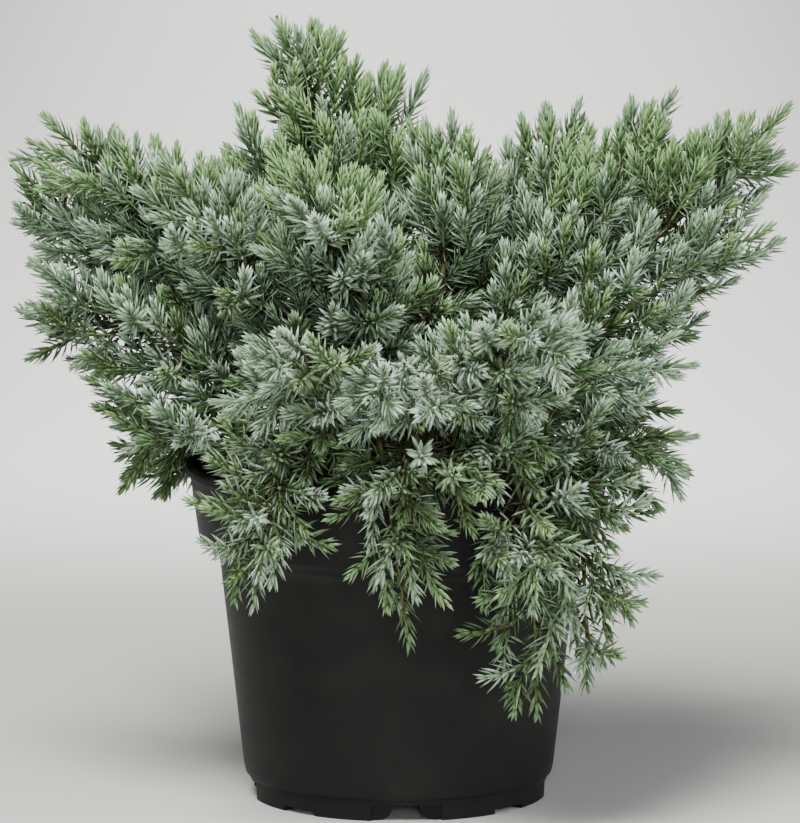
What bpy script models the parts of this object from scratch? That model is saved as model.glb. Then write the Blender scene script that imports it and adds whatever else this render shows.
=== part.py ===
"""Dwarf juniper in a black nursery pot, in metres, +Z up.

The origin is the centre of the pot's foot circle, on the surface that the pot stands on. -Y is the front.
Places on the plant are given as a surveyor would give them: an azimuth round the pot's axis (0 is +X, the
right-hand side, 90 is the back, 180 the left and 270 the front), a distance out from the axis and a height up.
"""

import math
import random

import bpy
import numpy as np
from mathutils import Matrix, Vector

UP = Vector((0, 0, 1))
GOLDEN_ANGLE = math.radians(137.508)

# Pot: a 19 cm nursery container, 15 cm high, with a stacking collar and a notched foot
LIP_RADIUS = 0.0951
POT_HEIGHT = 0.1500
LIP_DEPTH = 0.0046
COLLAR_TOP_RADIUS = 0.0930
COLLAR_FOOT_RADIUS = 0.0894
COLLAR_FOOT_HEIGHT = 0.1194
BODY_TOP_RADIUS = 0.0806
BODY_TOP_HEIGHT = 0.1137
BODY_FOOT_RADIUS = 0.0692
BODY_FOOT_HEIGHT = 0.0140
SKIRT_RADIUS = 0.0661
SKIRT_HEIGHT = 0.0092
WALL = 0.0013
FOOT_BAND_IN = 0.0595
FOOT_BAND_MIDDLE = 0.0622
BASE_UNDERSIDE = 0.0074
BASE_TOP = 0.0090
POT_STEPS = 40

# Notches in the foot: four wide ones on the axes and four low ones between them
WIDE_NOTCH_WIDTH = 0.0312
WIDE_NOTCH_HEIGHT = 0.0073
INNER_NOTCH_WIDTH = 0.0112
INNER_NOTCH_FLARE = 0.0066
LOW_NOTCH_WIDTH = 0.0180
LOW_NOTCH_HEIGHT = 0.0023
NOTCH_TURN = math.radians(3.0)
DRAIN_RADIUS = 0.0055
DRAIN_OUT = 0.0420

# What touches keeps this much clear
SEAT_GAP = 0.0003

# Potting soil
SOIL_RIM_HEIGHT = 0.1405
SOIL_TOP_HEIGHT = 0.1426
SOIL_FLAT_RADIUS = 0.0160
SOIL_STEPS = 20

# Trunk: a short stem with a root flare, leaning a little left and back
TRUNK_FLARE_RADIUS = 0.0105
TRUNK_RADIUS = 0.0064
TRUNK_TIP_RADIUS = 0.0042
TRUNK_TIP_HEIGHT = 0.2060
TRUNK_LEAN = Vector((-0.0055, 0.0030, 0))
FLARE_HEIGHT = 0.0060

# Boughs
BOUGH_RADIUS = 0.0022
BOUGH_TIP_RADIUS = 0.0015
BOUGH_RINGS = 4
BOUGH_SIDES = 5

# Masses of foliage: each has a stem, shoots round it by the golden angle, and a core that they stand out of
STEM_RINGS = 7
CORE_SIDES = 6
CORE_SHARE = 0.64
CORE_GAP = 0.0011
SHOOTS_PER_AREA = 7.2 / (0.034 * 0.100)
SHOOT_RADIUS = 0.0021
SHOOT_TIP_RADIUS = 0.0013
BARE_SHARE = 0.30
CLAD_LENGTH = 0.0100
SHORTEST_CLAD = 0.0060
TIP_LENGTH = 0.0110
TIP_OVERSHOOT = 0.0060
NEEDLE_LENGTH = 0.0145
NEEDLE_LEAN = math.radians(50)
NEEDLE_CLEAR = 0.0006
CELL_MARGIN = 0.0005
LIMB_MARGIN = 0.0012
WEEP_DROP = 0.030
STEM_SAG = 0.10
WEEP_OUT = 0.30
WEEP_RISE = 0.40
SET_OFF_SHARE = 0.35
LEADER_FROM = 0.74
FIRST_SHOOT = 0.10
SHOOT_RANGE = 0.72
LEAN_LOW, LEAN_HIGH = 66, 34
LIGHT_PULL = 0.22
WEIGHT_PULL = -0.10
SHORTEST_SHOOT = 0.022
POT_MARGIN = 0.0015
SHOOT_POT_MARGIN = 0.0040
FLOOR_MARGIN = 0.0100
CELL_SHARE = 0.8

# Each row: name, height at which its bough leaves the trunk (none where the stem stands on the trunk's tip),
# the bough's tip and the foliage's furthest tip as azimuth, out and up, and half the breadth of the foliage
MASSES = (
    ("crown_spire", None, (153, 0.009, 0.206), (157, 0.059, 0.347), 0.040),
    ("crown_right", 0.203, (8, 0.018, 0.224), (44, 0.033, 0.300), 0.044),
    ("crown_left", 0.197, (186, 0.029, 0.219), (175, 0.070, 0.305), 0.034),
    ("crown_back", 0.197, (96, 0.020, 0.221), (122, 0.046, 0.324), 0.044),
    ("crown_front", 0.191, (242, 0.023, 0.206), (236, 0.080, 0.294), 0.046),
    ("left_arm", 0.180, (182, 0.042, 0.200), (180, 0.155, 0.303), 0.040),
    ("left_point", 0.174, (166, 0.049, 0.191), (172, 0.175, 0.280), 0.037),
    ("left_shelf", 0.186, (206, 0.034, 0.200), (199, 0.108, 0.289), 0.039),
    ("left_low", 0.168, (188, 0.050, 0.177), (186, 0.160, 0.241), 0.039),
    ("left_hem", 0.161, (199, 0.053, 0.163), (197, 0.141, 0.193), 0.030),
    ("right_shelf", 0.197, (22, 0.030, 0.211), (21, 0.085, 0.304), 0.038),
    ("right_peak", 0.191, (358, 0.038, 0.208), (3, 0.121, 0.312), 0.037),
    ("right_arm", 0.1845, (352, 0.049, 0.201), (357, 0.170, 0.308), 0.038),
    ("right_side", 0.179, (345, 0.053, 0.191), (352, 0.160, 0.270), 0.037),
    ("right_low", 0.173, (336, 0.050, 0.178), (341, 0.126, 0.212), 0.033),
    ("right_hem", 0.167, (331, 0.053, 0.166), (336, 0.132, 0.171), 0.033),
    ("front_right", 0.182, (300, 0.038, 0.188), (296, 0.142, 0.238), 0.051),
    ("front_left", 0.175, (252, 0.037, 0.184), (249, 0.142, 0.228), 0.051),
    ("front_middle", 0.199, (272, 0.038, 0.198), (271, 0.142, 0.216), 0.044),
    ("front_low", 0.167, (276, 0.041, 0.171), (274, 0.150, 0.176), 0.044),
    ("weeping_right", 0.155, (323, 0.062, 0.174), (311, 0.125, 0.069), 0.025),
    ("weeping_front", 0.1615, (303, 0.062, 0.174), (300, 0.120, 0.058), 0.033),
    ("weeping_middle", 0.156, (261, 0.062, 0.172), (272, 0.121, 0.092), 0.022),
    ("weeping_left", 0.1505, (237, 0.062, 0.173), (239, 0.122, 0.106), 0.024),
    ("back_left", 0.186, (134, 0.039, 0.200), (134, 0.152, 0.272), 0.051),
    ("back_right", 0.186, (48, 0.037, 0.203), (48, 0.148, 0.274), 0.051),
    ("back_middle", 0.172, (90, 0.041, 0.183), (91, 0.139, 0.218), 0.051),
    ("back_left_low", 0.162, (158, 0.049, 0.1665), (160, 0.132, 0.158), 0.042),
    ("back_right_low", 0.1655, (32, 0.048, 0.171), (31, 0.124, 0.173), 0.043),
)


def clear_scene():
    for obj in list(bpy.data.objects):
        bpy.data.objects.remove(obj, do_unlink=True)


def principled(name, colour, roughness, metallic=0.0):
    """A plain material: linear colour, roughness and metallic value."""
    made = bpy.data.materials.new(name)
    made.use_nodes = True
    shader = made.node_tree.nodes["Principled BSDF"]
    shader.inputs["Base Color"].default_value = (*colour, 1.0)
    shader.inputs["Roughness"].default_value = roughness
    shader.inputs["Metallic"].default_value = metallic
    made.diffuse_color = (*colour, 1.0)
    return made


def add_object(name, mesh, material=None):
    obj = bpy.data.objects.new(name, mesh)
    bpy.context.scene.collection.objects.link(obj)
    if material:
        mesh.materials.append(material)
    return obj


def mesh_from(name, points, faces):
    mesh = bpy.data.meshes.new(name)
    mesh.from_pydata([tuple(p) for p in points], [], faces)
    mesh.validate()
    return mesh


def smooth_by_angle(mesh, degrees):
    mesh.shade_smooth()
    mesh.set_sharp_from_angle(angle=math.radians(degrees))


def place(azimuth, out, up):
    turn = math.radians(azimuth)
    return Vector((out * math.cos(turn), out * math.sin(turn), up))


def blend(a, b, share):
    return a + (b - a) * share


# Pot and soil


def lathe(name, profile, steps):
    """A closed solid turned round +Z from a closed profile of (radius, height), listed anticlockwise in the
    plane where radius is to the right and height is up. A run that starts and ends on the axis is closed there."""
    points = []
    rings = []
    for radius, height in profile:
        if radius == 0:
            rings.append([len(points)] * steps)
            points.append((0.0, 0.0, height))
            continue
        rings.append([len(points) + i for i in range(steps)])
        for i in range(steps):
            turn = 2 * math.pi * i / steps
            points.append((radius * math.cos(turn), radius * math.sin(turn), height))
    faces = []
    for low, high in zip(rings, rings[1:] + rings[:1]):
        if low[0] == low[1] and high[0] == high[1]:
            continue
        for i in range(steps):
            j = (i + 1) % steps
            face = [low[i], low[j], high[j], high[i]]
            faces.append(list(dict.fromkeys(face)))
    return mesh_from(name, points, faces)


def quarter_arc(start, end, steps=3):
    """Points of a quarter ellipse from start to end in the profile plane, leaving start along the radius."""
    (r0, z0), (r1, z1) = start, end
    quarter = math.pi / 2
    return [
        (r0 + (r1 - r0) * math.sin(quarter * k / steps), z0 + (z1 - z0) * (1 - math.cos(quarter * k / steps)))
        for k in range(steps + 1)
    ]


def pot_profile():
    collar_foot = quarter_arc((BODY_TOP_RADIUS, BODY_TOP_HEIGHT), (COLLAR_FOOT_RADIUS, COLLAR_FOOT_HEIGHT))
    lip_foot = POT_HEIGHT - LIP_DEPTH
    outside = [
        (FOOT_BAND_IN, 0.0),
        (SKIRT_RADIUS, 0.0),
        (SKIRT_RADIUS + 0.0004, SKIRT_HEIGHT),
        (BODY_FOOT_RADIUS - 0.0010, SKIRT_HEIGHT + 0.0014),
        (BODY_FOOT_RADIUS, BODY_FOOT_HEIGHT),
        *collar_foot,
        (COLLAR_TOP_RADIUS, lip_foot),
        (LIP_RADIUS, lip_foot + 0.0008),
        (LIP_RADIUS, POT_HEIGHT - 0.0008),
        (LIP_RADIUS - 0.0010, POT_HEIGHT),
    ]
    inside = [
        (COLLAR_TOP_RADIUS - WALL, POT_HEIGHT),
        (COLLAR_FOOT_RADIUS - WALL, COLLAR_FOOT_HEIGHT + WALL),
        (BODY_TOP_RADIUS - WALL, BODY_TOP_HEIGHT + WALL),
        (BODY_FOOT_RADIUS - WALL, BODY_FOOT_HEIGHT),
        (SKIRT_RADIUS - WALL, BASE_TOP),
        (0.0, BASE_TOP),
        (0.0, BASE_UNDERSIDE),
        (FOOT_BAND_IN, BASE_UNDERSIDE),
    ]
    return outside + inside


def prism(outline, near, far, turn):
    """Points and faces of an outline of (across, height) pairs, run from near to far out from the axis and
    turned round it. The outline is anticlockwise seen from the axis's side."""
    count = len(outline)
    spin = Matrix.Rotation(turn, 3, "Z")
    points = [spin @ Vector((out, across, height)) for out in (near, far) for across, height in outline]
    faces = [list(range(count))[::-1], list(range(count, 2 * count))]
    for i in range(count):
        j = (i + 1) % count
        faces.append([i, j, j + count, i + count])
    return points, faces


def notch_outline(width, height, flare=0.0, steps=4):
    """A notch open at the floor: straight sides, or sides that swing outwards as a quarter round to the floor."""
    half = width / 2
    below = -0.002
    if not flare:
        return [(-half, below), (half, below), (half, height), (-half, height)]
    quarter = math.pi / 2
    right = [(half + flare, below)]
    for k in range(steps, -1, -1):
        turn = quarter * k / steps
        right.append((half + flare * (1 - math.cos(turn)), height * (1 - math.sin(turn))))
    left = [(-across, up) for across, up in reversed(right)]
    return right + left


def cutter_of(name, solids):
    """One helper that holds several solids, none of which meet."""
    points, faces = [], []
    for more_points, more_faces in solids:
        start = len(points)
        points.extend(more_points)
        faces.extend([[start + i for i in face] for face in more_faces])
    cutter = add_object(name, mesh_from(name, points, faces))
    cutter.hide_render = True
    cutter.display_type = "WIRE"
    return cutter


def foot_cutters():
    """The notches of the skirt with the drain holes, and the flared notches of the foot band behind them."""
    beyond = SKIRT_RADIUS + 0.004
    inside = FOOT_BAND_IN - 0.004
    wide = notch_outline(WIDE_NOTCH_WIDTH, WIDE_NOTCH_HEIGHT)
    flared = notch_outline(INNER_NOTCH_WIDTH, WIDE_NOTCH_HEIGHT - 0.0001, INNER_NOTCH_FLARE)
    low = notch_outline(LOW_NOTCH_WIDTH, LOW_NOTCH_HEIGHT)
    skirt, band = [], []
    for quarter in range(4):
        turn = NOTCH_TURN - math.pi / 2 + quarter * math.pi / 2
        skirt.append(prism(wide, FOOT_BAND_MIDDLE, beyond, turn))
        skirt.append(prism(low, inside, beyond, turn + math.pi / 4))
        skirt.append(drain_prism(Matrix.Rotation(turn, 3, "Z") @ Vector((DRAIN_OUT, 0, 0))))
        band.append(prism(flared, inside, FOOT_BAND_MIDDLE + 0.0001, turn))
    return cutter_of("skirt_cutter", skirt), cutter_of("foot_band_cutter", band)


def drain_prism(centre, sides=12):
    low, high = BASE_UNDERSIDE - 0.002, BASE_TOP + 0.002
    points = []
    for height in (low, high):
        for i in range(sides):
            turn = 2 * math.pi * i / sides
            offset = Vector((DRAIN_RADIUS * math.cos(turn), DRAIN_RADIUS * math.sin(turn), height))
            points.append(centre + offset)
    faces = [list(range(sides))[::-1], list(range(sides, 2 * sides))]
    for i in range(sides):
        j = (i + 1) % sides
        faces.append([i, j, j + sides, i + sides])
    return points, faces


def build_pot():
    mesh = lathe("pot", pot_profile(), POT_STEPS)
    smooth_by_angle(mesh, 30)
    pot = add_object("pot", mesh, principled("black_polypropylene", (0.012, 0.012, 0.012), 0.42))
    for cutter in foot_cutters():
        cut = pot.modifiers.new(cutter.name, "BOOLEAN")
        cut.operation = "DIFFERENCE"
        cut.solver = "EXACT"
        cut.object = cutter
    return pot


def inner_wall_radius(height):
    """Radius of the pot's inner wall in its collar, at a height."""
    low, high = COLLAR_FOOT_HEIGHT + WALL, POT_HEIGHT
    share = (height - low) / (high - low)
    return blend(COLLAR_FOOT_RADIUS - WALL, COLLAR_TOP_RADIUS - WALL, share)


def build_soil():
    """A plug that fills the pot, a little below the rim, with a low mound and a flat place for the trunk."""
    gap = SEAT_GAP
    profile = [
        (0.0, BASE_TOP + gap),
        (SKIRT_RADIUS - WALL - 2 * gap, BASE_TOP + gap),
        (BODY_FOOT_RADIUS - WALL - gap, BODY_FOOT_HEIGHT),
        (BODY_TOP_RADIUS - WALL - gap, BODY_TOP_HEIGHT + WALL + gap),
        (COLLAR_FOOT_RADIUS - WALL - gap, COLLAR_FOOT_HEIGHT + WALL + gap),
        (inner_wall_radius(SOIL_RIM_HEIGHT) - gap, SOIL_RIM_HEIGHT),
        (0.052, blend(SOIL_RIM_HEIGHT, SOIL_TOP_HEIGHT, 0.8)),
        (SOIL_FLAT_RADIUS, SOIL_TOP_HEIGHT),
        (0.0, SOIL_TOP_HEIGHT),
    ]
    mesh = lathe("potting_soil", profile, SOIL_STEPS)
    smooth_by_angle(mesh, 40)
    return add_object("potting_soil", mesh, principled("peat", (0.030, 0.014, 0.008), 0.95))


# Trunk and boughs


def bezier(start, middle, end, share):
    return blend(blend(start, middle, share), blend(middle, end, share), share)


def frames_along(path):
    """A tangent and two normals at each point of a path, carried along it without twisting."""
    tangents = []
    for i in range(len(path)):
        before, after = path[max(i - 1, 0)], path[min(i + 1, len(path) - 1)]
        tangents.append((after - before).normalized())
    side = tangents[0].orthogonal().normalized()
    frames = []
    for tangent in tangents:
        side = (side - tangent * side.dot(tangent)).normalized()
        frames.append((tangent, side, tangent.cross(side)))
    return frames


def tube(path, radii, sides, frames=None):
    """Points and faces of a closed tube with flat ends. A radius of 0 at an end closes it to a point."""
    frames = frames or frames_along(path)
    points, rings = [], []
    for centre, radius, (_, side, across) in zip(path, radii, frames):
        if radius == 0:
            rings.append([len(points)] * sides)
            points.append(centre.copy())
            continue
        rings.append([len(points) + i for i in range(sides)])
        for i in range(sides):
            turn = 2 * math.pi * i / sides
            points.append(centre + (side * math.cos(turn) + across * math.sin(turn)) * radius)
    faces = []
    for low, high in zip(rings, rings[1:]):
        for i in range(sides):
            j = (i + 1) % sides
            faces.append(list(dict.fromkeys([low[i], low[j], high[j], high[i]])))
    if rings[0][0] != rings[0][1]:
        faces.append(rings[0][::-1])
    if rings[-1][0] != rings[-1][1]:
        faces.append(rings[-1])
    return points, faces


def trunk_centre(height):
    """The trunk's axis leans in a gentle curve from the soil to its tip."""
    foot = SOIL_TOP_HEIGHT + SEAT_GAP
    share = (height - foot) / (TRUNK_TIP_HEIGHT - foot)
    return Vector((0, 0, height)) + TRUNK_LEAN * share * share


def trunk_radius(height):
    foot = SOIL_TOP_HEIGHT + SEAT_GAP
    share = (height - foot) / (TRUNK_TIP_HEIGHT - foot)
    taper = blend(TRUNK_RADIUS, TRUNK_TIP_RADIUS, share)
    flare = max(0.0, 1 - (height - foot) / FLARE_HEIGHT)
    return taper + (TRUNK_FLARE_RADIUS - TRUNK_RADIUS) * flare * flare


def trunk_path():
    foot = SOIL_TOP_HEIGHT + SEAT_GAP
    heights = [foot, foot + 0.3 * FLARE_HEIGHT, foot + FLARE_HEIGHT]
    steps = 5
    heights += [blend(foot + FLARE_HEIGHT, TRUNK_TIP_HEIGHT, (k + 1) / steps) for k in range(steps)]
    return [trunk_centre(h) for h in heights], [trunk_radius(h) for h in heights]


def build_trunk(bark):
    path, radii = trunk_path()
    # The foot's ring lies level, so that the cut at the soil is flat
    level = [(UP, Vector((1, 0, 0)), Vector((0, 1, 0)))] * len(path)
    points, faces = tube(path, radii, 10, level)
    mesh = mesh_from("trunk", points, faces)
    smooth_by_angle(mesh, 50)
    return add_object("trunk", mesh, bark)


def bough_path(leaves, tip):
    """From just clear of the trunk's bark, straight out at first, then bending to the foliage."""
    centre = trunk_centre(leaves)
    out = Vector((tip.x - centre.x, tip.y - centre.y, 0)).normalized()
    # The trunk leans and tapers, so the bough clears whichever part of it stands out furthest
    rises = (leaves - BOUGH_RADIUS, leaves, leaves + BOUGH_RADIUS)
    start = centre + out * (max((trunk_centre(h) - centre).dot(out) + trunk_radius(h) for h in rises) + SEAT_GAP)
    reach = (tip - start).length
    middle = start + out * reach * 0.45 + UP * (tip.z - start.z) * 0.25
    return [bezier(start, middle, tip, k / (BOUGH_RINGS - 1)) for k in range(BOUGH_RINGS)]


def build_bough(name, path, bark):
    radii = [blend(BOUGH_RADIUS, BOUGH_TIP_RADIUS, k / (len(path) - 1)) for k in range(len(path))]
    frames = frames_along(path)
    # The first ring stands upright, square to the trunk, and the others follow from it without a twist
    across = UP.cross(path[1] - path[0]).normalized()
    frames[0] = (across.cross(UP), across, UP)
    for k in range(1, len(path)):
        tangent = frames[k][0]
        level = UP.cross(tangent).normalized()
        frames[k] = (tangent, level, tangent.cross(level))
    points, faces = tube(path, radii, BOUGH_SIDES, frames)
    mesh = mesh_from(name, points, faces)
    smooth_by_angle(mesh, 60)
    return add_object(name, mesh, bark)


# Foliage


def bulge(share):
    """How wide a mass is along its stem, as a share of its half breadth: fullest below the middle, then
    drawing in to the leading tip."""
    rise = min(1.0, 0.55 + share / 0.45 * 0.45)
    return rise * math.sqrt(max(0.0, 1 - max(0.0, share - 0.30) / 0.78) ** 1.25)


class Mass:
    """The stem of one mass of foliage, and the space that its shoots may fill."""

    def __init__(self, row, seed):
        self.name, self.leaves, base, tip, self.breadth = row
        self.rng = random.Random(seed)
        self.tip = place(*tip)
        self.bough_tip = place(*base)
        self.bough = bough_path(self.leaves, self.bough_tip) if self.leaves else trunk_path()[0]
        along = (self.bough[-1] - self.bough[-2]).normalized() if self.leaves else UP
        self.start = self.bough[-1] + along * SEAT_GAP
        reach = (self.tip - self.start).length
        # Weeping foliage arches up and out over the rim, and the rest sags a little under its weight
        self.weeps = self.tip.z < self.start.z - WEEP_DROP
        outward = Vector((self.tip.x, self.tip.y, 0)).normalized()
        bend = outward * WEEP_OUT / 2 + UP * WEEP_RISE if self.weeps else UP * -STEM_SAG / 2
        middle = blend(self.start, self.tip, 0.5) + bend * reach
        middle = blend(middle, self.start + along * reach * 0.5, SET_OFF_SHARE)
        self.path = [bezier(self.start, middle, self.tip, k / (STEM_RINGS - 1)) for k in range(STEM_RINGS)]
        self.path_frames = frames_along(self.path)
        # The stem's first ring is parallel to the end that it grows on from
        side = along.cross(self.path_frames[1][2]).normalized() * -1
        self.path_frames[0] = (along, side, along.cross(side))
        self.length = sum((b - a).length for a, b in zip(self.path, self.path[1:]))

    def at(self, share):
        """Centre and frame of the stem at a share of its length."""
        place_on = min(max(share, 0.0), 1.0) * (STEM_RINGS - 1)
        i = min(int(place_on), STEM_RINGS - 2)
        part = place_on - i
        centre = blend(self.path[i], self.path[i + 1], part)
        axes = [blend(a, b, part).normalized() for a, b in zip(self.path_frames[i], self.path_frames[i + 1])]
        return centre, axes

    def shoots(self, count):
        """Start and end of each shoot: the leader at the stem's tip, then side shoots that turn round the
        stem by the golden angle and lean towards its tip and the light."""
        lead_from, _ = self.at(LEADER_FROM)
        yield lead_from, self.tip
        for i in range(count):
            share = FIRST_SHOOT + SHOOT_RANGE * (i + 0.5) / count
            turn = i * GOLDEN_ANGLE + self.rng.uniform(-0.3, 0.3)
            centre, (tangent, side, across) = self.at(share)
            outward = side * math.cos(turn) + across * math.sin(turn)
            lean = math.radians(blend(LEAN_LOW, LEAN_HIGH, share) + self.rng.uniform(-5, 5))
            pull = WEIGHT_PULL if self.weeps else LIGHT_PULL
            aim = outward * math.sin(lean) + tangent * math.cos(lean) + UP * pull
            length = self.breadth * bulge(share) * self.rng.uniform(0.98, 1.16) / math.sin(lean)
            length = min(length, ((1 - share) * self.length + TIP_OVERSHOOT) / math.cos(lean))
            yield centre, centre + aim.normalized() * max(length, SHORTEST_SHOOT)


class Space:
    """Keeps every mass to its own space, and clear of the pot, the soil and the limbs."""

    def __init__(self, masses, limbs):
        seeds, owners, weights = [], [], []
        for k, mass in enumerate(masses):
            for share in (0.15, 0.40, 0.65, 0.90):
                seeds.append(mass.at(share)[0])
                owners.append(k)
                weights.append((CELL_SHARE * mass.breadth * bulge(share)) ** 2)
        self.seeds = np.array(seeds)
        self.owners = np.array(owners)
        self.weights = np.array(weights)
        self.limb_starts = np.array([a for path, _ in limbs for a in path[:-1]])
        self.limb_ends = np.array([b for path, _ in limbs for b in path[1:]])
        self.limb_radii = np.array([max(r[i], r[i + 1]) for _, r in limbs for i in range(len(r) - 1)])
        self.needle_starts = np.zeros((0, 3))
        self.needle_ends = np.zeros((0, 3))

    def holds(self, owner, point):
        """True if the point lies in the owner's cell, with a margin."""
        power = ((self.seeds - np.array(point)) ** 2).sum(axis=1) - self.weights
        mine = power[self.owners == owner].min()
        others = power[self.owners != owner]
        nearest = others.argmin()
        rival = self.seeds[self.owners != owner][nearest]
        home = self.seeds[self.owners == owner][power[self.owners == owner].argmin()]
        return others[nearest] - mine > 2 * CELL_MARGIN * np.linalg.norm(rival - home)

    @staticmethod
    def above_pot(point, margin=POT_MARGIN):
        """True if the point is above the pot or outside it, and clear of the floor."""
        if point[2] > POT_HEIGHT + margin:
            return True
        return math.hypot(point[0], point[1]) > LIP_RADIUS + margin and point[2] > FLOOR_MARGIN

    def clear_of_limbs(self, start, end, radius):
        gaps = segment_distances(start, end, self.limb_starts, self.limb_ends) - self.limb_radii
        return gaps.min() > radius + LIMB_MARGIN

    def place_cores(self, masses, radii):
        """Notes where every core lies, once their sizes are settled."""
        self.core_starts = np.array([a for mass in masses for a in mass.path[:-1]])
        self.core_ends = np.array([b for mass in masses for b in mass.path[1:]])
        self.core_radii = np.array([max(pair) for row in radii for pair in zip(row, row[1:])])
        self.core_owners = np.repeat(np.arange(len(masses)), STEM_RINGS - 1)

    def clear_of_cores(self, owner, start, end, radius):
        gaps = segment_distances(start, end, self.core_starts, self.core_ends) - self.core_radii
        return gaps[self.core_owners != owner].min() > radius + LIMB_MARGIN

    def clear_of_needles(self, start, end):
        if not len(self.needle_starts):
            return True
        return segment_distances(start, end, self.needle_starts, self.needle_ends).min() > NEEDLE_CLEAR

    def keep_needles(self, pairs):
        self.needle_starts = np.vstack([self.needle_starts, [tuple(a) for a, _ in pairs]])
        self.needle_ends = np.vstack([self.needle_ends, [tuple(b) for _, b in pairs]])


def above_lip(point):
    """How far a point above or outside the pot is from its lip."""
    up, out = point[2] - POT_HEIGHT, math.hypot(point[0], point[1]) - LIP_RADIUS
    if up <= 0:
        return out
    return up if out <= 0 else math.hypot(up, out)


def segment_distances(start, end, starts, ends):
    """Shortest distance from one segment to each of many."""
    p, q = np.array(start), np.array(end)
    d1, d2 = q - p, ends - starts
    r = p - starts
    a, e = d1 @ d1, (d2 * d2).sum(axis=1)
    f, c, b = (d2 * r).sum(axis=1), r @ d1, d2 @ d1
    denominator = np.maximum(a * e - b * b, 1e-16)
    s = np.clip((b * f - c * e) / denominator, 0, 1)
    t = np.clip((b * s + f) / np.maximum(e, 1e-16), 0, 1)
    s = np.clip((b * t - c) / max(a, 1e-16), 0, 1)
    near = p + s[:, None] * d1 - starts - t[:, None] * d2
    return np.sqrt((near * near).sum(axis=1))


def needle_tip(corners, centre, aim, lean, length):
    """Where the needle that grows from one face of a shoot ends: out from the shoot and on towards its tip."""
    foot = sum(corners, Vector()) / 3
    outward = foot - centre
    outward = (outward - aim * outward.dot(aim)).normalized()
    return foot, foot + (outward * math.sin(lean) + aim * math.cos(lean)) * length


def shoot_mesh(mass_index, start, end, bare_until, space, turn):
    """One needle-clad shoot as a closed solid. Its twig is three-sided, each ring turned by 60 degrees against
    the last, as the whorls of a juniper are, and each face between two rings draws out to a needle."""
    aim = (end - start).normalized()
    length = (end - start).length
    side = aim.orthogonal().normalized()
    across = aim.cross(side)
    body_end = length - TIP_LENGTH
    bare = min(max(bare_until, BARE_SHARE * length, body_end - CLAD_LENGTH), body_end - SHORTEST_CLAD)
    stations = [0.0, bare, body_end]
    points, rings = [], []
    for k, along in enumerate(stations):
        radius = blend(SHOOT_RADIUS, SHOOT_TIP_RADIUS, along / length)
        rings.append([len(points) + i for i in range(3)])
        for i in range(3):
            spin = turn + math.radians(120 * i + 60 * k)
            points.append(start + aim * along + (side * math.cos(spin) + across * math.sin(spin)) * radius)
    faces = [rings[0][::-1]]
    made = []
    for k in range(len(stations) - 1):
        low, high = rings[k], rings[k + 1]
        for i in range(3):
            j = (i + 1) % 3
            upright = (low[i], low[j], high[i])
            hanging = (high[i], low[j], high[j])
            for corners in (upright, hanging):
                grown = None
                if k > 0:
                    centre = start + aim * (stations[k] + stations[k + 1]) / 2
                    grown = needle_tip([points[c] for c in corners], centre, aim, NEEDLE_LEAN, NEEDLE_LENGTH)
                if grown and needle_fits(space, mass_index, *grown):
                    apex = len(points)
                    points.append(grown[1])
                    faces += [(corners[n], corners[(n + 1) % 3], apex) for n in range(3)]
                    made.append(grown)
                else:
                    faces.append(corners)
    apex = len(points)
    points.append(end)
    faces += [(rings[-1][n], rings[-1][(n + 1) % 3], apex) for n in range(3)]
    made.append((start + aim * stations[1], end))
    return points, faces, made


def needle_fits(space, owner, foot, tip):
    probes = (blend(foot, tip, 0.5), tip)
    if not all(space.holds(owner, p) and space.above_pot(p) for p in probes):
        return False
    if not space.clear_of_cores(owner, foot, tip, NEEDLE_CLEAR):
        return False
    return space.clear_of_limbs(foot, tip, NEEDLE_CLEAR) and space.clear_of_needles(blend(foot, tip, 0.35), tip)


def core_radii(mass, masses, space, pad):
    """Radius of the core at each ring of the stem, held back from the other stems and from the limbs."""
    along = mass.path_frames[0][0]
    radii = []
    for k, centre in enumerate(mass.path):
        share = k / (STEM_RINGS - 1)
        wish = CORE_SHARE * mass.breadth * bulge(share)
        for other in masses:
            if other is mass:
                continue
            near = segment_distances(
                centre, centre + UP * 1e-6, np.array(other.path[:-1]), np.array(other.path[1:])
            ).min()
            wish = min(wish, near * 0.5 - pad)
        wish = min(wish, 0.9 * (centre - mass.start).dot(along)) if k < 3 else wish
        to_limbs = segment_distances(centre, centre + UP * 1e-6, space.limb_starts, space.limb_ends)
        neighbours = mass.path[max(k - 1, 0)], mass.path[min(k + 1, STEM_RINGS - 1)]
        to_lip = min(above_lip(blend(centre, other, part)) for other in neighbours for part in (0.0, 0.3, 0.6))
        wish = min(wish, (to_limbs - space.limb_radii).min() - pad, to_lip - pad)
        radii.append(max(wish, BOUGH_TIP_RADIUS * 0.8))
    radii[0] = BOUGH_TIP_RADIUS
    radii[-2] = max(radii[-2] * 0.6, SHOOT_RADIUS)
    radii[-1] = SHOOT_RADIUS
    return radii


def shoot_fits(space, owner, start, end):
    """A side shoot is skipped if its twig would leave its own space or touch a limb or the pot."""
    probes = [blend(start, end, share) for share in (0.45, 0.7, 0.9)]
    if not all(space.holds(owner, p) and space.above_pot(p, SHOOT_POT_MARGIN) for p in probes):
        return False
    if not space.clear_of_cores(owner, blend(start, end, 0.3), end, SHOOT_RADIUS):
        return False
    return space.clear_of_limbs(start, end, SHOOT_RADIUS)


def pull_back(space, owner, start, end):
    """The shoot with its length cut back, in steps, until it stays in its own space; None if too little is left."""
    for share in (1.0, 0.88, 0.76, 0.64):
        tip = blend(start, end, share)
        if (tip - start).length < SHORTEST_SHOOT:
            return None
        if space.holds(owner, tip) and space.above_pot(tip):
            return tip
    return None


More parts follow.
